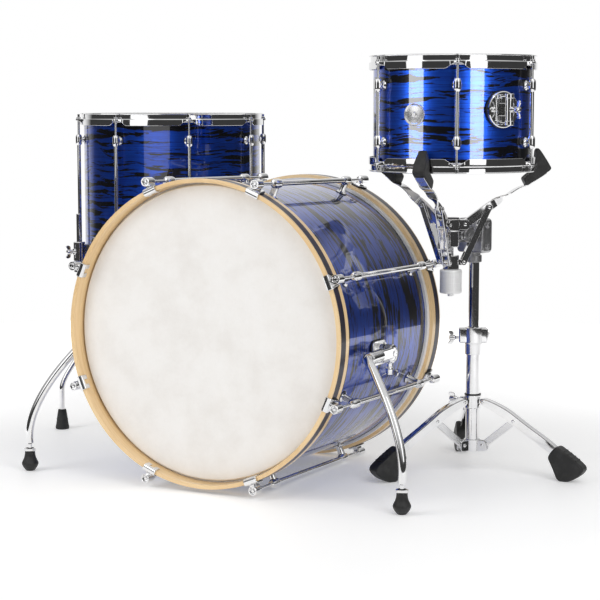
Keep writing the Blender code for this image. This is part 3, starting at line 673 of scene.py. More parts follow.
def wood_hoop(name, edge, side, node):
    """A maple hoop with an inlaid band, and its eight claws with their tension rods."""
    outer, inner, deep = WOOD_HOOP_R, WOOD_HOOP_R - WOOD_HOOP_WALL, WOOD_HOOP_DEPTH
    soft = 1.4

    def at(profile):
        return [(radius, edge + side * depth) for radius, depth in profile]

    wood = at([(inner + soft, 0), (outer - soft, 0), (outer - soft * 0.3, soft * 0.3), (outer, soft),
               (outer, deep - soft), (outer - soft * 0.3, deep - soft * 0.3), (outer - soft, deep),
               (inner + soft, deep), (inner, deep - soft), (inner, soft), (inner + soft * 0.3, soft * 0.3)])
    band = at([(outer - 0.8, 4.2), (outer + 0.1, 4.2), (outer + 0.18, 4.5), (outer + 0.18, 23.7),
               (outer + 0.1, 24), (outer - 0.8, 24)])
    piece(name, [lathe(wood, 256)], MAPLE, BASS.body, BASS.place, (node,))
    piece(name + "_inlay", [lathe(band, 256)], INLAY, BASS.body, BASS.place)

    over = [(outer + 2.6, 30), (outer + 2.4, 20), (outer + 2.4, 6), (outer + 1.4, 0.2), (outer - 1.2, -2.4),
            (inner + 1.2, -2.4), (inner - 1.4, 0), (inner - 2, 2)]
    under = [(radius + (-1.6 if radius > outer else 0.0), depth) for radius, depth in over[:3]]
    rod_r = BASS.rod_r
    low, high = sorted((edge - side * 0.5, edge + side * 19))
    key_low, key_high = sorted((edge - side * 4.2, edge + side * 3))
    barrel = at([(0, 2), (6, 2), (6, -5.2), (6.6, -6), (8, -6), (8.7, -5.2), (8.8, 15), (7.4, 19.6),
                 (4, 20.5), (0, 20.5)])
    chrome = [
        strap(at(over), lambda t: 15.5 + 12.5 * min(1.0, t * 2.6) ** 1.3, 2.6),
        block((outer + 2, -5.8, low), (rod_r - 3, 5.8, high), 1.6),
        moved(lathe(barrel, 48), shift(rod_r, 0, 0)),
        block((rod_r - 2.7, -2.7, key_low), (rod_r + 2.7, 2.7, key_high), 0.6),
        spindle((rod_r, 0, edge + side * 18), (rod_r, 0, edge + side * 72.5), 2.9, 28),
    ]
    prong_low, prong_high = sorted((edge - side * 1, edge + side * 14))
    for across in (-9, 9):
        chrome.append(block((inner - 3, across - 4.5, prong_low), (inner - 0.6, across + 4.5, prong_high), 1))
    rubber = [strap(at(under), lambda t: 17.5 + 12 * min(1.0, t * 1.4), 0.8)]
    angles = lug_angles(BASS)
    piece(name + "_claws", around_all(chrome, angles), CHROME, BASS.body, BASS.place)
    piece(name + "_claw_gaskets", around_all(rubber, angles), GASKET, BASS.body, BASS.place)


# The section of a pressed hoop, as (outwards from the shell, upwards from the bearing edge).
HOOP_SECTION = (
    (2.8, 8), (3.4, 8.5), (7.6, 8.5), (8.5, 7.6), (8.2, 6.6), (5.6, 6.2), (5.1, 5.6), (5.1, -3), (5.6, -4.2),
    (8, -4.8), (8.5, -5.6), (8.5, -18), (8.1, -18.7), (6.4, -18.7), (6.2, -18), (6.2, -7.4), (5, -7.2),
    (2.8, -7),
)
SKIRT_FROM, SKIRT_TOP, SKIRT_HEM = 6.2, -4.8, -17.9


def ease(t):
    t = min(1.0, max(0.0, t))
    return t * t * (3 - 2 * t)


def flanged_hoop(drum, name, edge, side, node):
    """A pressed hoop whose skirt is scalloped up to an ear at each lug, with its tension rods."""
    base = drum.radius
    sector = math.tau / drum.lugs
    rings = []
    for angle in lug_angles(drum):
        for step in range(80):
            t = step / 40 - 1
            swing = math.copysign(abs(t) ** 1.6, t) * sector / 2
            away = abs(swing) * drum.rod_r
            rise = 10.4 * (1 - ease((away - 5) / 20))
            tip = drum.rod_r - base - 8.5 + math.sqrt(42.25 - min(away, 5.0) ** 2)
            ear = tip * (1 - ease((away - 5) / 10.5))
            heading = Vector((math.cos(math.radians(angle) + swing), math.sin(math.radians(angle) + swing)))
            ring = []
            for out, up in HOOP_SECTION:
                if out >= SKIRT_FROM and up <= SKIRT_TOP:
                    out += ear
                if up <= SKIRT_HEM:
                    up += rise
                spot = heading * (base + out)
                ring.append((spot.x, spot.y, edge + side * up))
            rings.append(ring)
    piece(name, [loft(rings, looped=True)], HOOP_CHROME, drum.body, drum.place, (node,), sharp=40)

    post = drum.posts[1] if side > 0 else drum.posts[0]
    top = edge - side * 4.8
    chrome = [spindle((drum.rod_r, 0, top), (drum.rod_r, 0, post + side * 10), 2.6, 28)]
    chrome += key_head(drum.rod_r, top, side)
    piece(name + "_rods", around_all(chrome, lug_angles(drum)), CHROME, drum.body, drum.place)


def bass_drum():
    shell(BASS, ("bass_shell",))
    head(BASS, "bass_front", BASS.low, -1, "bass_front_head")
    head(BASS, "bass_batter", BASS.high, 1, "bass_batter_head")
    wood_hoop("bass_front_hoop_wood", 0.0, 1, "bass_front_hoop")
    wood_hoop("bass_batter_hoop_wood", BASS_LENGTH, -1, "bass_batter_hoop")


def tom(drum):
    shell(drum, (drum.name + "_shell",))
    head(drum, drum.name + "_batter", drum.high, 1, drum.name + "_batter_head")
    head(drum, drum.name + "_bottom", drum.low, -1, drum.name + "_bottom_head")
    flanged_hoop(drum, drum.name + "_hoop_top", drum.high, 1, drum.name + "_top_hoop")
    flanged_hoop(drum, drum.name + "_hoop_bottom", drum.low, -1, drum.name + "_bottom_hoop")


# ---------------------------------------------------------------- spurs


SPUR_PIVOT = Vector((305, 187, 262))
SPUR_TOP = Vector((310, 80, 264))
SPUR_BULGE = Vector((418, 17, 140))
SPUR_END = Vector((407.4, 18, 56))


def spur(name, side):
    """A folding spur. It is modelled for the right of the drum and mirrored for the left."""
    front = BASS_PLACE @ Vector((0, 0, 0))
    mirror = shift(front.x / MM, front.y / MM, 0) @ Matrix.Diagonal((side, 1, 1, 1))

    def made(suffix, meshes, finish, body, nodes=()):
        for mesh in meshes:
            mesh.transform(mirror)
            if side < 0:
                mesh.flip_normals()
        piece(f"spur_{suffix}_{name}", meshes, finish, body, None, nodes)

    pivot, face = SPUR_PIVOT, BASS.radius
    lift = pivot.z

    boss = [(0, 0), (18, 0), (18, 3), (17.2, 4), (17.2, 5.6), (18, 6.6), (18, pivot.x - 8.8 - face),
            (0, pivot.x - 8.8 - face)]
    base = [pad(face + 1.4, face + 5, (158, lift - 23), (216, lift + 24), 13, 1.2),
            turned(boss, (face, pivot.y, lift), OUT, 72)]
    for up in (15, -15):
        base += hex_bolt((face + 5, 209, lift + up), OUT, 3.6, 2)
    made("base", base, CHROME, "bass_drum", (f"spur_bracket_{name}",))
    made("gasket", [pad(face - 0.2, face + 1.6, (156.8, lift - 24.2), (217.2, lift + 25.2), 13.6, 0.4)],
         GASKET, "bass_drum")

    cap = [(0, -7.8), (17, -7.8), (18, -6.8), (18, 6.4), (16.6, 8.6), (13, 9.2), (11.8, 8), (7, 8), (0, 8)]
    arm_low, arm_high = Vector((pivot.x - 6.5, 130, 253.5)), Vector((pivot.x + 10, pivot.y, 275.5))
    sleeve = [(0, 0), (9.6, 0), (11.6, 1.6), (12.2, 4), (12.2, 46), (11, 50), (0, 50)]
    leg = [
        turned(cap, pivot, OUT, 72),
        block(arm_low, arm_high, 3, 3),
        turned(sleeve, (307.8, 88.5, 264.5), (-0.02, 1, 0), 56),
        sweep([Vector((307, 100, 264.6))] + bend(SPUR_TOP, SPUR_BULGE, SPUR_END, 48), 8, 32),
        turned([(0, 0), (8, 0), (6.6, 3), (4.2, 5), (4.2, 50), (0, 50)], SPUR_END + Vector((0, 0, 3)),
               (0, 0, -1), 32),
    ]
    leg += hex_bolt(pivot + Vector((8, 0, 0)), OUT, 5.6, 3.4)
    made("tube", leg, CHROME, f"spur_{name}", (f"spur_leg_{name}",))

    x, y = SPUR_END.x, SPUR_END.y
    lock = [(8.6, 40.3), (11, 40.3), (11.8, 41.2), (11.8, 44.6), (10.8, 45.6), (8.6, 45.6)]
    rubber = [(5, 40.2), (9.2, 40.2), (10, 38.8), (10.6, 32), (12.2, 25.5), (15, 20), (16.6, 16.5),
              (16.6, 13.5), (14, 7.5), (9.2, 1.4), (7.4, 0.0), (5, 0.0)]
    stand = shift(x, y, 0)
    made("rubber", [moved(lathe(rounded(rubber, 2.2, 3), 64), stand)], RUBBER, f"spur_foot_{name}",
         (f"spur_foot_{name}",))
    made("lock_nut", [moved(lathe(lock, 12), stand)], CHROME, f"spur_foot_{name}")
    nut = wing_screw(pivot - Vector((0, 0, 18)), (0, 0, -1), OUT, 25, 36, 1.6)
    made("wing", nut, CHROME, f"spur_wing_{name}", (f"spur_wing_nut_{name}",))


# ---------------------------------------------------------------- floor tom legs and the rack tom's mount


LEG_ROD_R = 6
LEG_CIRCLE_R = 250
LEG_FOOT_R = 300
LEG_CLAMP_Z = 400


def floor_leg(number, angle):
    place = Matrix.Translation(FLOOR_TOM_AT) @ turn(angle)
    r, z = FLOOR_TOM.radius, LEG_CLAMP_Z

    clamp = [(6.6, -22), (11.8, -22), (13.4, -20.4), (13.4, 20.4), (11.8, 22), (6.6, 22)]
    chrome = [
        pad(r + 1.4, r + 7.5, (-15, z - 30), (15, z + 30), 14, 1.6),
        block((r + 6, -8.5, z - 16.5), (LEG_CIRCLE_R - 8, 8.5, z + 16.5), 2.6, 3),
        moved(lathe(clamp, 56), shift(LEG_CIRCLE_R, 0, z)),
        turned([(0, 0), (7, 0), (7, 4.2), (6.2, 5.2), (0, 5.2)], (LEG_CIRCLE_R + 9.8, 0, z), OUT, 32),
    ]
    for up in (-23.5, 23.5):
        chrome += hex_bolt((r + 7.5, 0, z + up), OUT, 3.6, 2.2)
    piece(f"leg_bracket_{number}", chrome, CHROME, "floor_tom", place, (f"floor_leg_bracket_{number}",))
    rubber = [pad(r - 0.4, r + 1.6, (-16.3, z - 31.3), (16.3, z + 31.3), 15, 0.4)]
    piece(f"leg_bracket_gasket_{number}", rubber, GASKET, "floor_tom", place)

    lock = [(6.6, -7), (11.2, -7), (12.4, -5.8), (12.4, 5.8), (11.2, 7), (6.6, 7)]
    ring = [moved(lathe(lock, 48), shift(LEG_CIRCLE_R, 0, 360))]
    ring.append(block((LEG_CIRCLE_R - 5, 9, 354.5), (LEG_CIRCLE_R + 5, 17, 365.5), 1.4))
    ring += hex_bolt((LEG_CIRCLE_R + 5, 13.5, 360), OUT, 3.2, 3.6)
    piece(f"leg_memory_lock_{number}", ring, CHROME, "floor_tom", place)

    points = [Vector((LEG_CIRCLE_R, 0, 484)), Vector((LEG_CIRCLE_R, 0, 260))]
    for i in range(33):
        t = i / 32
        swing = (1 - math.cos(math.pi * t)) / 2
        points.append(Vector((LEG_CIRCLE_R + (LEG_FOOT_R - LEG_CIRCLE_R) * swing, 0, 190 - 103 * t)))
    points.append(Vector((LEG_FOOT_R, 0, 30)))
    cap = turned([(0, 0), (5.8, 0), (5.2, 1.2), (0, 1.6)], (LEG_CIRCLE_R, 0, 483.8), UP, 28)
    piece(f"leg_rod_{number}", [sweep(points, LEG_ROD_R, 28), cap], CHROME, f"floor_leg_{number}", place,
          (f"floor_leg_{number}",))
    foot = rounded([(6, 45), (9, 45), (10.8, 34), (14, 11), (15.5, 5), (15, 0.0), (6, 0.0)], 1.8, 3)
    ribs = [turned([(9, 0), (12.8, 0), (13, 0.8), (12.6, 1.6), (9, 1.6)], (LEG_FOOT_R, 0, height), UP, 56)
            for height in (18, 22.5)]
    piece(f"leg_rubber_{number}", [moved(lathe(foot, 64), shift(LEG_FOOT_R, 0, 0))] + ribs, RUBBER,
          f"floor_leg_{number}", place)
    wing = wing_screw((262.8, 0, z), OUT, UP)
    piece(f"leg_wing_{number}", wing, CHROME, f"floor_leg_wing_{number}", place,
          (f"floor_leg_wing_screw_{number}",))


def rack_mount():
    """A round plate on a thick gasket with an open eye that a tom arm would pass through."""
    place = Matrix.Translation(BASKET_AT) @ turn(MOUNT_ANGLE)
    face, z = RACK_TOM.radius, 720
    disc = [(0, 4), (32.5, 4), (33.8, 4.8), (33.8, 8.6), (32.2, 9.8), (25, 10.2), (23.6, 9.2), (0, 9.2)]
    gasket = [(0, -1), (34, -1), (34.6, 0), (34.6, 3.6), (33.8, 4.4), (0, 4.4)]
    eye = [(5.4, -29), (7.8, -29), (8.6, -28), (8.6, -21.5), (7.4, -20.5), (7.4, 20.5), (8.6, 21.5),
           (8.6, 28), (7.8, 29), (5.4, 29)]
    chrome = [
        turned(disc, (face, 0, z), OUT, 112),
        moved(lathe(eye, 56), shift(178.5, 0, z)),
        block((face + 8, -4.2, z - 12), (172.5, 4.2, z + 12), 1.6, 3),
        turned([(0, 0), (5.2, 0), (5.2, 6), (4.6, 6.8), (0, 6.8)], (185.6, 0, z), OUT, 32),
    ]
    for across in (-21.5, 21.5):
        chrome += hex_bolt((face + 9.2, across, z), OUT, 3.4, 2)
    piece("rack_mount_plate", chrome, CHROME, "rack_tom", place, ("rack_mount_bracket",))
    piece("rack_mount_gasket", [turned(gasket, (face, 0, z), OUT, 112)], GASKET, "rack_tom", place)
    wing = wing_screw((192.3, 0, z), OUT, UP, 20, 34)
    piece("rack_mount_wing", wing, CHROME, "rack_mount_wing", place, ("rack_mount_wing_screw",))


def badge():
    """A round pressed vent plate with a beaded rim and an air hole, with nothing written on it."""
    place = Matrix.Translation(BASKET_AT) @ turn(-95.0)
    start = (RACK_TOM.radius - 1, 0, 711)
    rim = [(0, 2.6), (6, 2.4), (12, 1.7), (17.2, 0.8), (18.2, 1.6), (20, 3), (21, 2.4), (21.2, 0), (0, 0)]
    vent = [(3, 1.6), (6.2, 1.6), (6.2, 3.4), (5.2, 4.2), (4, 3.8), (3, 2.6)]
    metal = [turned(rim, start, OUT, 96), turned(vent, start, OUT, 48)]
    for i in range(48):
        a = math.tau * i / 48
        centre = Vector(start) + Vector((1, 15.6 * math.cos(a), 15.6 * math.sin(a)))
        metal.append(turned([(0, 0), (0.6, 0), (0.4, 0.5), (0, 0.6)], centre, OUT, 8))
    piece("rack_tom_vent_plate", metal, PRESSED, "rack_tom", place)


# ---------------------------------------------------------------- tripod stand


def channel(top, bottom, width, web, angle, groove):
    """A pressed channel, open below, between its top edge and its flanges' lower edge."""
    top, bottom = smooth(top, 4), smooth(bottom, 4)
    half, soft = width / 2, 2.2
    rings = []
    for high, low in zip(top, bottom):
        length = (low - high).length
        down = (low - high) / length
        section = [(-half, length), (-half, soft), (-half + soft * 0.3, soft * 0.3), (-half + soft, 0),
                   (-half * 0.45, 0), (-half * 0.30, groove), (half * 0.30, groove), (half * 0.45, 0),
                   (half - soft, 0), (half - soft * 0.3, soft * 0.3), (half, soft), (half, length),
                   (half - web, length), (half - web, web + groove), (-half + web, web + groove),
                   (-half + web, length)]
        rings.append([(high.x + down.x * deep, across, high.y + down.y * deep) for across, deep in section])
    return moved(loft(rings), turn(angle))


def cheeks(angle, outline, gap, thick):
    """Two upright rounded plates, either side of a link that turns between them."""
    pair = []
    for side in (-1, 1):
        middle_y = side * (gap / 2 + thick / 2)
        pair.append(moved(plate(outline, thick, 0, 0.5), turn(angle) @ shift(0, middle_y, 0)))
    return pair


def link(first, second, radius, thickness, angle, bevel=1):
    slope = math.degrees(math.atan2(second[1] - first[1], second[0] - first[0]))
    outline = arc(first, radius, slope + 90, slope + 270, 14)
    outline += arc(second, radius, slope - 90, slope + 90, 14)
    return plate(outline, thickness, angle, bevel)


def tripod():
    place = Matrix.Translation(STAND_AT)
    tube = [(0, 40), (12.8, 40), (14, 41.2), (14, 256.5), (13.4, 257.5), (11.3, 257.5), (11.3, 66), (0, 66)]
    hub = [(13.9, 41.2), (15.8, 41.2), (16.8, 42.4), (16.8, 64), (15.8, 65.2), (13.9, 65.2)]
    ear = rounded([(12, 42.8), (30, 42.8), (32.5, 46), (32.5, 60), (29, 63.2), (12, 63.2)], 5, 6)
    metal = [lathe(tube, 96), lathe(hub, 96)]
    for angle in TRIPOD_ANGLES:
        metal += cheeks(angle, ear, 10, 3)
        metal += rivet(angle, HUB_PIVOT, 8)
    piece("tripod_lower_tube", metal, CHROME, "stand_base", place, ("stand_lower_tube",))

    collar = [(14.6, 128), (15.7, 128), (16.5, 129), (16.5, 153), (15.7, 154.2), (14.6, 154.2)]
    metal = [lathe(collar, 96)]
    for angle in TRIPOD_ANGLES:
        tongue = rounded([(15, 137.2), (26.2, 136.8), (29.6, 141.3), (26.2, 145.8), (15, 145.6)], 4, 6)
        metal.append(plate(tongue, 9.4, angle, 0.8))
    boss = block((15, -6, 138), (25, 6, 150), 1.8, 3)
    metal.append(moved(boss, turn(COLLAR_SCREW_ANGLE)))
    piece("tripod_slide_collar", metal, CHROME, "tripod_collar", place, ("tripod_collar",))
    bush = [(14.4, 154), (16, 154), (16.6, 154.6), (16.6, 156.4), (15.8, 157), (14.4, 157)]
    piece("tripod_collar_bush", [lathe(bush, 96)], PLASTIC, "tripod_collar", place)
    screw = wing_screw((25.3, 0, 144), OUT, UP, 26, 26)
    piece("tripod_wing_bolt", screw, CHROME, "tripod_wing", place @ turn(COLLAR_SCREW_ANGLE),
          ("tripod_wing_screw",))
    for number, angle in enumerate(TRIPOD_ANGLES, 1):
        tripod_leg(number, angle, place)


def tripod_leg(number, angle, place):
    bar = [link(HUB_PIVOT, KNEE_PIVOT, 6.6, 8.6, angle)]
    piece(f"strut_{number}", bar, STEEL, f"tripod_strut_{number}", place, (f"tripod_strut_{number}",))
    top = [(19.6, 147), (25, 148.8), (38, 146.2), (60, 138.5), (82, 128), (103, 114.5), (125, 100.6),
           (146, 88), (167.5, 74.5), (179, 66)]
    bottom = [(19, 138), (24, 134), (38, 128.5), (56, 119), (74, 109.8), (95, 97.5), (116, 84.5), (136, 73.2),
              (156, 59.8), (169, 52)]
    metal = [channel(top, bottom, 16.5, 2.6, angle, 0.7)]
    metal += rivet(angle, COLLAR_PIVOT, 8.2) + rivet(angle, KNEE_PIVOT, 8.2)
    piece(f"leg_channel_{number}", metal, CHROME, f"tripod_leg_{number}", place, (f"tripod_leg_{number}",))
    outline = [(164, 45), (171.2, 57), (180, 66.5), (186, 67.2), (204, 56), (220.2, 45.1), (231, 36.8),
               (237, 31.2), (238.5, 25), (233.1, 16.5), (220.9, 7), (206, 0.0), (189, 0.0), (183.5, 4),
               (174.7, 24.3)]
    rubber = [pillow(rounded(outline, 5, 3), 28, 4.5, angle)]
    for share in (0.20, 0.40, 0.60, 0.80):
        centre = Vector((190.5, 65)).lerp(Vector((231, 38.5)), share)
        along = Vector((40.5, -26.5)).normalized()
        across = Vector((26.5, 40.5)).normalized()
        rib = [centre - along * 1.6 - across * 4, centre + along * 1.6 - across * 4,
               centre + along * 1 + across * 1, centre - along * 1 + across * 1]
        rubber.append(plate(rib, 21.5, angle, 0.4))
    piece(f"leg_foot_{number}", rubber, RUBBER, f"tripod_leg_{number}", place, (f"tripod_foot_{number}",))


def height_clamp():
    place = Matrix.Translation(STAND_AT)
    heading = turn(CLAMP_SCREW_ANGLE)
    sleeve = [(10.9, 257.8), (10.9, 289.5), (11.6, 290.2), (17.8, 290.2), (19, 289), (19, 261), (18.2, 258.5),
              (16.8, 256), (16.8, 238), (16.2, 236), (14.3, 236), (14.3, 257.8)]
    metal = [
        lathe(sleeve, 96),
        moved(block((12, -12.5, 259), (30, 12.5, 289.8), 4, 4), heading),
        moved(block((-28, -12.5, 259), (-12, 12.5, 289.8), 4, 4), heading),
    ]
    metal += hex_bolt(heading @ Vector((-28, 0, 275)), heading @ Vector((-1, 0, 0)), 5, 3.4)
    piece("height_clamp_body", metal, CHROME, "stand_base", place, ("height_clamp",))
    screw = wing_screw((30.3, 0, 269), OUT, UP, 20, 28)
    piece("height_wing_bolt", screw, CHROME, "height_clamp_screw", place @ heading, ("height_clamp_screw",))
    upper = [(0, 165), (9.6, 165), (10.3, 165.8), (10.3, 419.5), (0, 419.5)]
    piece("upper_tube", [lathe(upper, 80)], CHROME, "stand_upper", place, ("stand_upper_tube",))


TILT_PIVOT = (38, 475)


def tilter():
    """The cast box on top of the tube and the toothed cheeks that the basket tilts between."""
    to_basket = BASKET_AT - STAND_AT
    forward = turn(math.degrees(math.atan2(to_basket.y, to_basket.x)))
    place = Matrix.Translation(STAND_AT) @ forward
    collar = [(0, 420), (14, 420), (14.8, 421), (14.8, 433), (14, 434.2), (12.2, 435), (12.2, 442), (0, 442)]
    outline = rounded([(-16.5, 439), (16.5, 439), (16.5, 507), (-16.5, 507)], 7, 6)
    body = pillow(outline, 62, 5.5)
    arm = rounded([(12, 460), (39, 460.5), (48, 470), (48, 480), (39, 489.5), (12, 490)], 8.5, 6)
    metal = [lathe(collar, 80), body] + cheeks(0, arm, 15, 5.5)
    for height in (452, 494.5):
        metal += hex_bolt((0, 31, height), (0, 1, 0), 5.2, 3)
    metal += hex_bolt((TILT_PIVOT[0], 13, TILT_PIVOT[1]), (0, 1, 0), 5.4, 3.4)
    for side in (-1, 1):
        for tooth in range(30):
            a = math.tau * tooth / 30
            spot = Vector((TILT_PIVOT[0] + 7.2 * math.cos(a), side * 7.4, TILT_PIVOT[1] + 7.2 * math.sin(a)))
            metal.append(block(spot - Vector((0.4, 0.4, 0.4)), spot + Vector((0.4, 0.4, 0.4)), 0))
    piece("tilter_housing", metal, CAST, "stand_upper", place, ("tilter_base",), sharp=38)
    screw = wing_screw((TILT_PIVOT[0], -13.3, TILT_PIVOT[1]), (0, -1, 0), UP, 20, 28)
    piece("tilter_wing_bolt", screw, CHROME, "tilter_wing", place, ("tilter_wing_screw",))


# ---------------------------------------------------------------- basket


def basket():
    place = Matrix.Translation(BASKET_AT)
    to_tube = STAND_AT - BASKET_AT
    tube_angle = math.degrees(math.atan2(to_tube.y, to_tube.x))
    reach = to_tube.length / MM - TILT_PIVOT[0]
    neck = [(0, 372), (4.2, 372), (4.8, 373), (4.8, 455), (15, 455), (16, 456.2), (16, 485), (17.6, 486.2),
            (18, 488), (18, 508), (17, 509.5), (0, 509.5)]
    threads = [turned([(4, 0), (5.4, 0.6), (4, 1.2)], (0, 0, 440.5 + 1.4 * i), UP, 40) for i in range(9)]
    lug = rounded([(10, 466), (reach, 466), (reach + 8.8, 471), (reach + 8.8, 479), (reach, 484), (10, 484)],
                  7, 6)
    ear = rounded([(10, 488.4), (31, 488.4), (34, 492), (34, 504), (31, 507.8), (10, 507.8)], 4.8, 6)
    metal = [lathe(neck, 88), plate(lug, 13.6, tube_angle, 1.2)] + threads
    for angle in ARM_ANGLES:
        metal += cheeks(angle, ear, 11, 2.8) + rivet(angle, ARM_PIVOT, 8.3)
    piece("basket_hub", metal, CHROME, "basket_post", place, ("basket_post",))
    piece("basket_hub_cap", [lathe([(0, 509.4), (15, 509.4), (16, 510.3), (15.2, 511.6), (0, 512.4)], 80)],
          PLASTIC, "basket_post", place)

    ring = [(5.6, 411.2), (14.6, 411.2), (15.5, 412.4), (15.5, 437.3), (14.6, 438.5), (5.6, 438.5)]
    metal = [lathe(ring, 88)]
    for angle in ARM_ANGLES:
        tongue = rounded([(12, 419), (26.2, 419), (30, 423), (30, 427.5), (26.2, 431), (12, 431)], 4.4, 6)
        metal.append(plate(tongue, 10, angle, 0.8))
    piece("basket_slide_hub", metal, CHROME, "basket_lower_hub", place, ("basket_lower_hub",))

    piece("basket_adjuster", [fluted_knob()], KNOB_METAL, "basket_knob", place, ("basket_knob",))
    for number, angle in enumerate(ARM_ANGLES, 1):
        basket_arm(number, angle, place)


def fluted_knob():
    """A turned knob with shallow flutes between plain bands."""
    stations = [(358.6, 4, 0), (359, 5.5, 0), (364.5, 6.2, 0), (364.6, 19, 0), (365.6, 20.8, 0),
                (366.8, 21.5, 0), (371, 21.5, 0), (372.2, 21.2, 1), (402.8, 21.2, 1), (404, 21.5, 0),
                (408.5, 21.5, 0), (409.8, 20.8, 0), (410.9, 19.5, 0), (410.9, 6, 0)]
    rings = []
    count = 192
    for height, radius, depth in stations:
        ring = []
        for i in range(count):
            a = math.tau * i / count
            flute = depth * 0.22 * (0.5 - 0.5 * math.cos(a * 32)) ** 1.5
            ring.append(((radius - flute) * math.cos(a), (radius - flute) * math.sin(a), height))
        rings.append(ring)
    return loft(rings)


def twisted_strap(path, angle):
    """A bar that twists from upright to flat. Stations are (radius, height, tall half, thin half, twist)."""
    rings = []
    stations = smooth(path, 5)
    for i, station in enumerate(stations):
        x, z, tall, thin, twist = station
        before, after = stations[max(i - 1, 0)], stations[min(i + 1, len(stations) - 1)]
        ahead = Vector((after[0] - before[0], 0, after[1] - before[1])).normalized()
        side = Vector((0, 1, 0))
        up = ahead.cross(side) * -1
        a = math.radians(twist)
        major = up * math.cos(a) + side * math.sin(a)
        minor = side * math.cos(a) - up * math.sin(a)
        soft = min(0.8, thin * 0.5)
        corners = [(tall, thin - soft), (tall - soft, thin), (soft - tall, thin), (-tall, thin - soft),
                   (-tall, soft - thin), (soft - tall, -thin), (tall - soft, -thin), (tall, soft - thin)]
        centre = Vector((x, 0, z))
        rings.append([centre + major * u + minor * v for u, v in corners])
    return moved(loft(rings), turn(angle))


def basket_arm(number, angle, place):
    bar = [(20, 496, 6.6, 4.8, 0), (30, 501, 7.8, 4.8, 0), (52, 516, 8.6, 4.6, 0), (73.5, 531.2, 8.6, 4.2, 0),
           (86, 539.5, 8, 3.4, 8), (99, 547.8, 8.6, 2, 52), (113, 556.6, 9.4, 1.2, 88),
           (132, 568, 9.6, 1.1, 90), (152, 575.2, 9.6, 1.1, 90), (172, 586.2, 9.6, 1.1, 90),
           (188, 596.4, 9, 1.1, 90)]
    metal = [twisted_strap(bar, angle)] + rivet(angle, ARM_STRUT_PIVOT, 8.6)
    body = f"basket_arm_{number}"
    piece(f"arm_bar_{number}", metal, CHROME, body, place, (f"basket_arm_{number}",))
    jaw = [(140, 587), (143.2, 579.6), (147.8, 572.2), (170, 586.8), (193.5, 601.8), (196.5, 606.5),
           (188, 621), (175.5, 640.5), (170, 646), (166, 642), (165.2, 619), (167, 607.2), (153, 597.2)]
    grip = pillow(rounded(jaw, 3.6, 3), 24, 3.2)
    for vertex in grip.vertices:
        vertex.co.y *= 1 - 0.34 * ease((vertex.co.z - 618) / 28)
    piece(f"arm_grip_{number}", [moved(grip, turn(angle))], RUBBER, body, place)
    foot, top = Vector(LOWER_HUB_PIVOT), Vector(ARM_STRUT_PIVOT)
    along = (top - foot).normalized()
    metal = []
    for across in (-6.7, 6.7):
        blade = link(LOWER_HUB_PIVOT, ARM_STRUT_PIVOT, 6, 2.6, 0, 0.7)
        metal.append(moved(blade, turn(angle) @ shift(0, across, 0)))
    web_start, web_end = foot + along * 18, top - along * 38
    across = Vector((along.y, -along.x)) * 5.8
    web = [web_start - across, web_start + across, web_end + across, web_end - across]
    metal.append(plate(rounded(web, 4, 5), 15.6, angle, 0.8))
    metal += rivet(angle, LOWER_HUB_PIVOT, 8)
    piece(f"arm_strut_{number}", metal, CHROME, f"basket_strut_{number}", place, (f"basket_strut_{number}",))



bass_drum()
for spur_name, spur_side in (("left", -1), ("right", 1)):
    spur(spur_name, spur_side)
tom(FLOOR_TOM)
for leg_number, leg_angle in enumerate(LEG_ANGLES, 1):
    floor_leg(leg_number, leg_angle)
tom(RACK_TOM)
rack_mount()
badge()
tripod()
height_clamp()
tilter()
basket()
weigh_normals()

# ---------------------------------------------------------------- studio

scene = bpy.context.scene
scene.view_settings.view_transform = "Standard"


def floor():
    """A round pale floor that glows by emission, which is painted light: a little everywhere, lifting its
    shadows, and more towards the backdrop, so that the two meet without a line.
    """
    bm = bmesh.new()
    bmesh.ops.create_circle(bm, cap_ends=True, segments=160, radius=2.3)
    mesh = shape(bm)
    if mesh.polygons[0].normal.z < 0:
        mesh.flip_normals()
    s = Surface("studio_floor", Roughness=0.55, Specular_IOR_Level=0.25)
    s.colour(s.mix(s.span(s.noise(2.0, 3.0), 0.3, 0.7), (0.92, 0.92, 0.92), (0.94, 0.94, 0.94)))
    distance = s.node("ShaderNodeVectorMath", operation="LENGTH")
    s.put(s.place, distance.inputs[0])
    # Painted light: the floor emits 0.23 everywhere, which lifts its shadows, and up to 0.66 more far out
    # towards the rear.
    s.shader.inputs["Emission Color"].default_value = (1, 1, 1, 1)
    outer = s.span(distance.outputs["Value"], 0.45, 1.85, 0.0, 0.66)
    rear = s.span(s.along(s.place, (-0.460, 0.888, 0.0)), -0.60, 0.50)
    glow = s.math("ADD", s.math("MULTIPLY", outer, rear), 0.23)
    s.put(glow, s.shader.inputs["Emission Strength"])
    mesh.materials.append(s.material)
    obj = bpy.data.objects.new("studio_floor", mesh)
    scene.collection.objects.link(obj)


def softbox(name, azimuth, distance, height, size, power, lean, gloss_on=()):
    data = bpy.data.lights.new(name, "AREA")
    data.shape = "RECTANGLE"
    data.size, data.size_y = size
    data.energy = power
    obj = bpy.data.objects.new(name, data)
    spot = Vector((math.cos(math.radians(azimuth)), math.sin(math.radians(azimuth)), 0)) * distance
    obj.location = spot + Vector((0, 0, height))
    target = Vector((0, 0, lean))
    obj.rotation_euler = (target - obj.location).to_track_quat("-Z", "Y").to_euler()
    obj.visible_camera = False
    obj.visible_glossy = bool(gloss_on)
    obj.visible_diffuse = not gloss_on
    if gloss_on:
        lit = bpy.data.collections.new(name + "_lit")
        for target_piece in gloss_on:
            lit.objects.link(target_piece)
        obj.light_linking.receiver_collection = lit
    scene.collection.objects.link(obj)


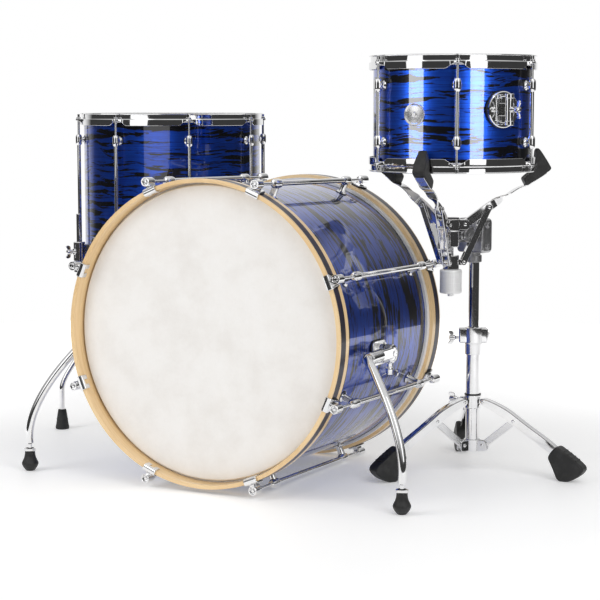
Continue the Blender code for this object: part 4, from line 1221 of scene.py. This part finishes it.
def surroundings():
    scene.world = bpy.data.worlds.new("studio")
    scene.world.use_nodes = True
    sky = Nodes(scene.world.node_tree)
    sky.tree.nodes.clear()
    path = sky.node("ShaderNodeLightPath")
    place = sky.node("ShaderNodeTexCoord").outputs["Generated"]
    behind = sky.span(sky.along(place, (-0.600, 0.800, 0.0)), 0.60, 0.82, 0.045, 0.90)
    above = sky.span(sky.along(place, UP), 0.10, 0.65, 0.0, 0.75)

    def shade(strength):
        made = sky.node("ShaderNodeBackground")
        sky.put((1.0, 1.0, 1.0), made.inputs["Color"])
        sky.put(strength, made.inputs["Strength"])
        return made.outputs[0]

    def choose(which, first, second):
        made = sky.node("ShaderNodeMixShader")
        for socket, source in zip(made.inputs, (path.outputs[which], first, second)):
            sky.put(source, socket)
        return made.outputs[0]

    lit = choose("Is Glossy Ray", shade(0.46), shade(sky.math("MAXIMUM", behind, above)))
    shown = choose("Is Camera Ray", lit, shade(1.0))
    sky.put(shown, sky.node("ShaderNodeOutputWorld").inputs["Surface"])


floor()
surroundings()
softbox("soft_left", -125.0, 2.3, 1.45, (1.2, 2.3), 21.5, 0.35)
softbox("soft_right", -33.0, 2.3, 1.45, (1.2, 2.3), 21.5, 0.35)
rack_wrap = [obj for obj in PIECES if obj.name == "rack_tom_wrap"]
floor_wrap = [obj for obj in PIECES if obj.name == "floor_tom_wrap"]
hardware = [obj for obj in PIECES if not obj.name.endswith("_wrap")]
softbox("gloss_left", -109.0, 2.0, 1.47, (0.95, 2.10), 62.0, 0.80, rack_wrap)
softbox("gloss_right", -30.0, 2.2, 1.47, (0.70, 2.10), 50.0, 0.80, rack_wrap)
softbox("glow_left", -85.0, 2.2, 1.30, (1.6, 2.0), 15.0, 0.60, floor_wrap)
softbox("gleam_left", -109.0, 2.0, 1.47, (0.95, 2.10), 7.5, 0.80, hardware)
softbox("gleam_right", -30.0, 2.2, 1.47, (0.80, 2.10), 6.5, 0.80, hardware)

camera = bpy.data.objects.new("camera", bpy.data.cameras.new("camera"))
camera.location = (1.7102, -3.2043, 0.729)
camera.rotation_euler = (math.radians(90 - 6.46), 0, math.radians(27.37))
camera.data.lens = 103.5
camera.data.sensor_width = 36
scene.collection.objects.link(camera)
scene.camera = camera
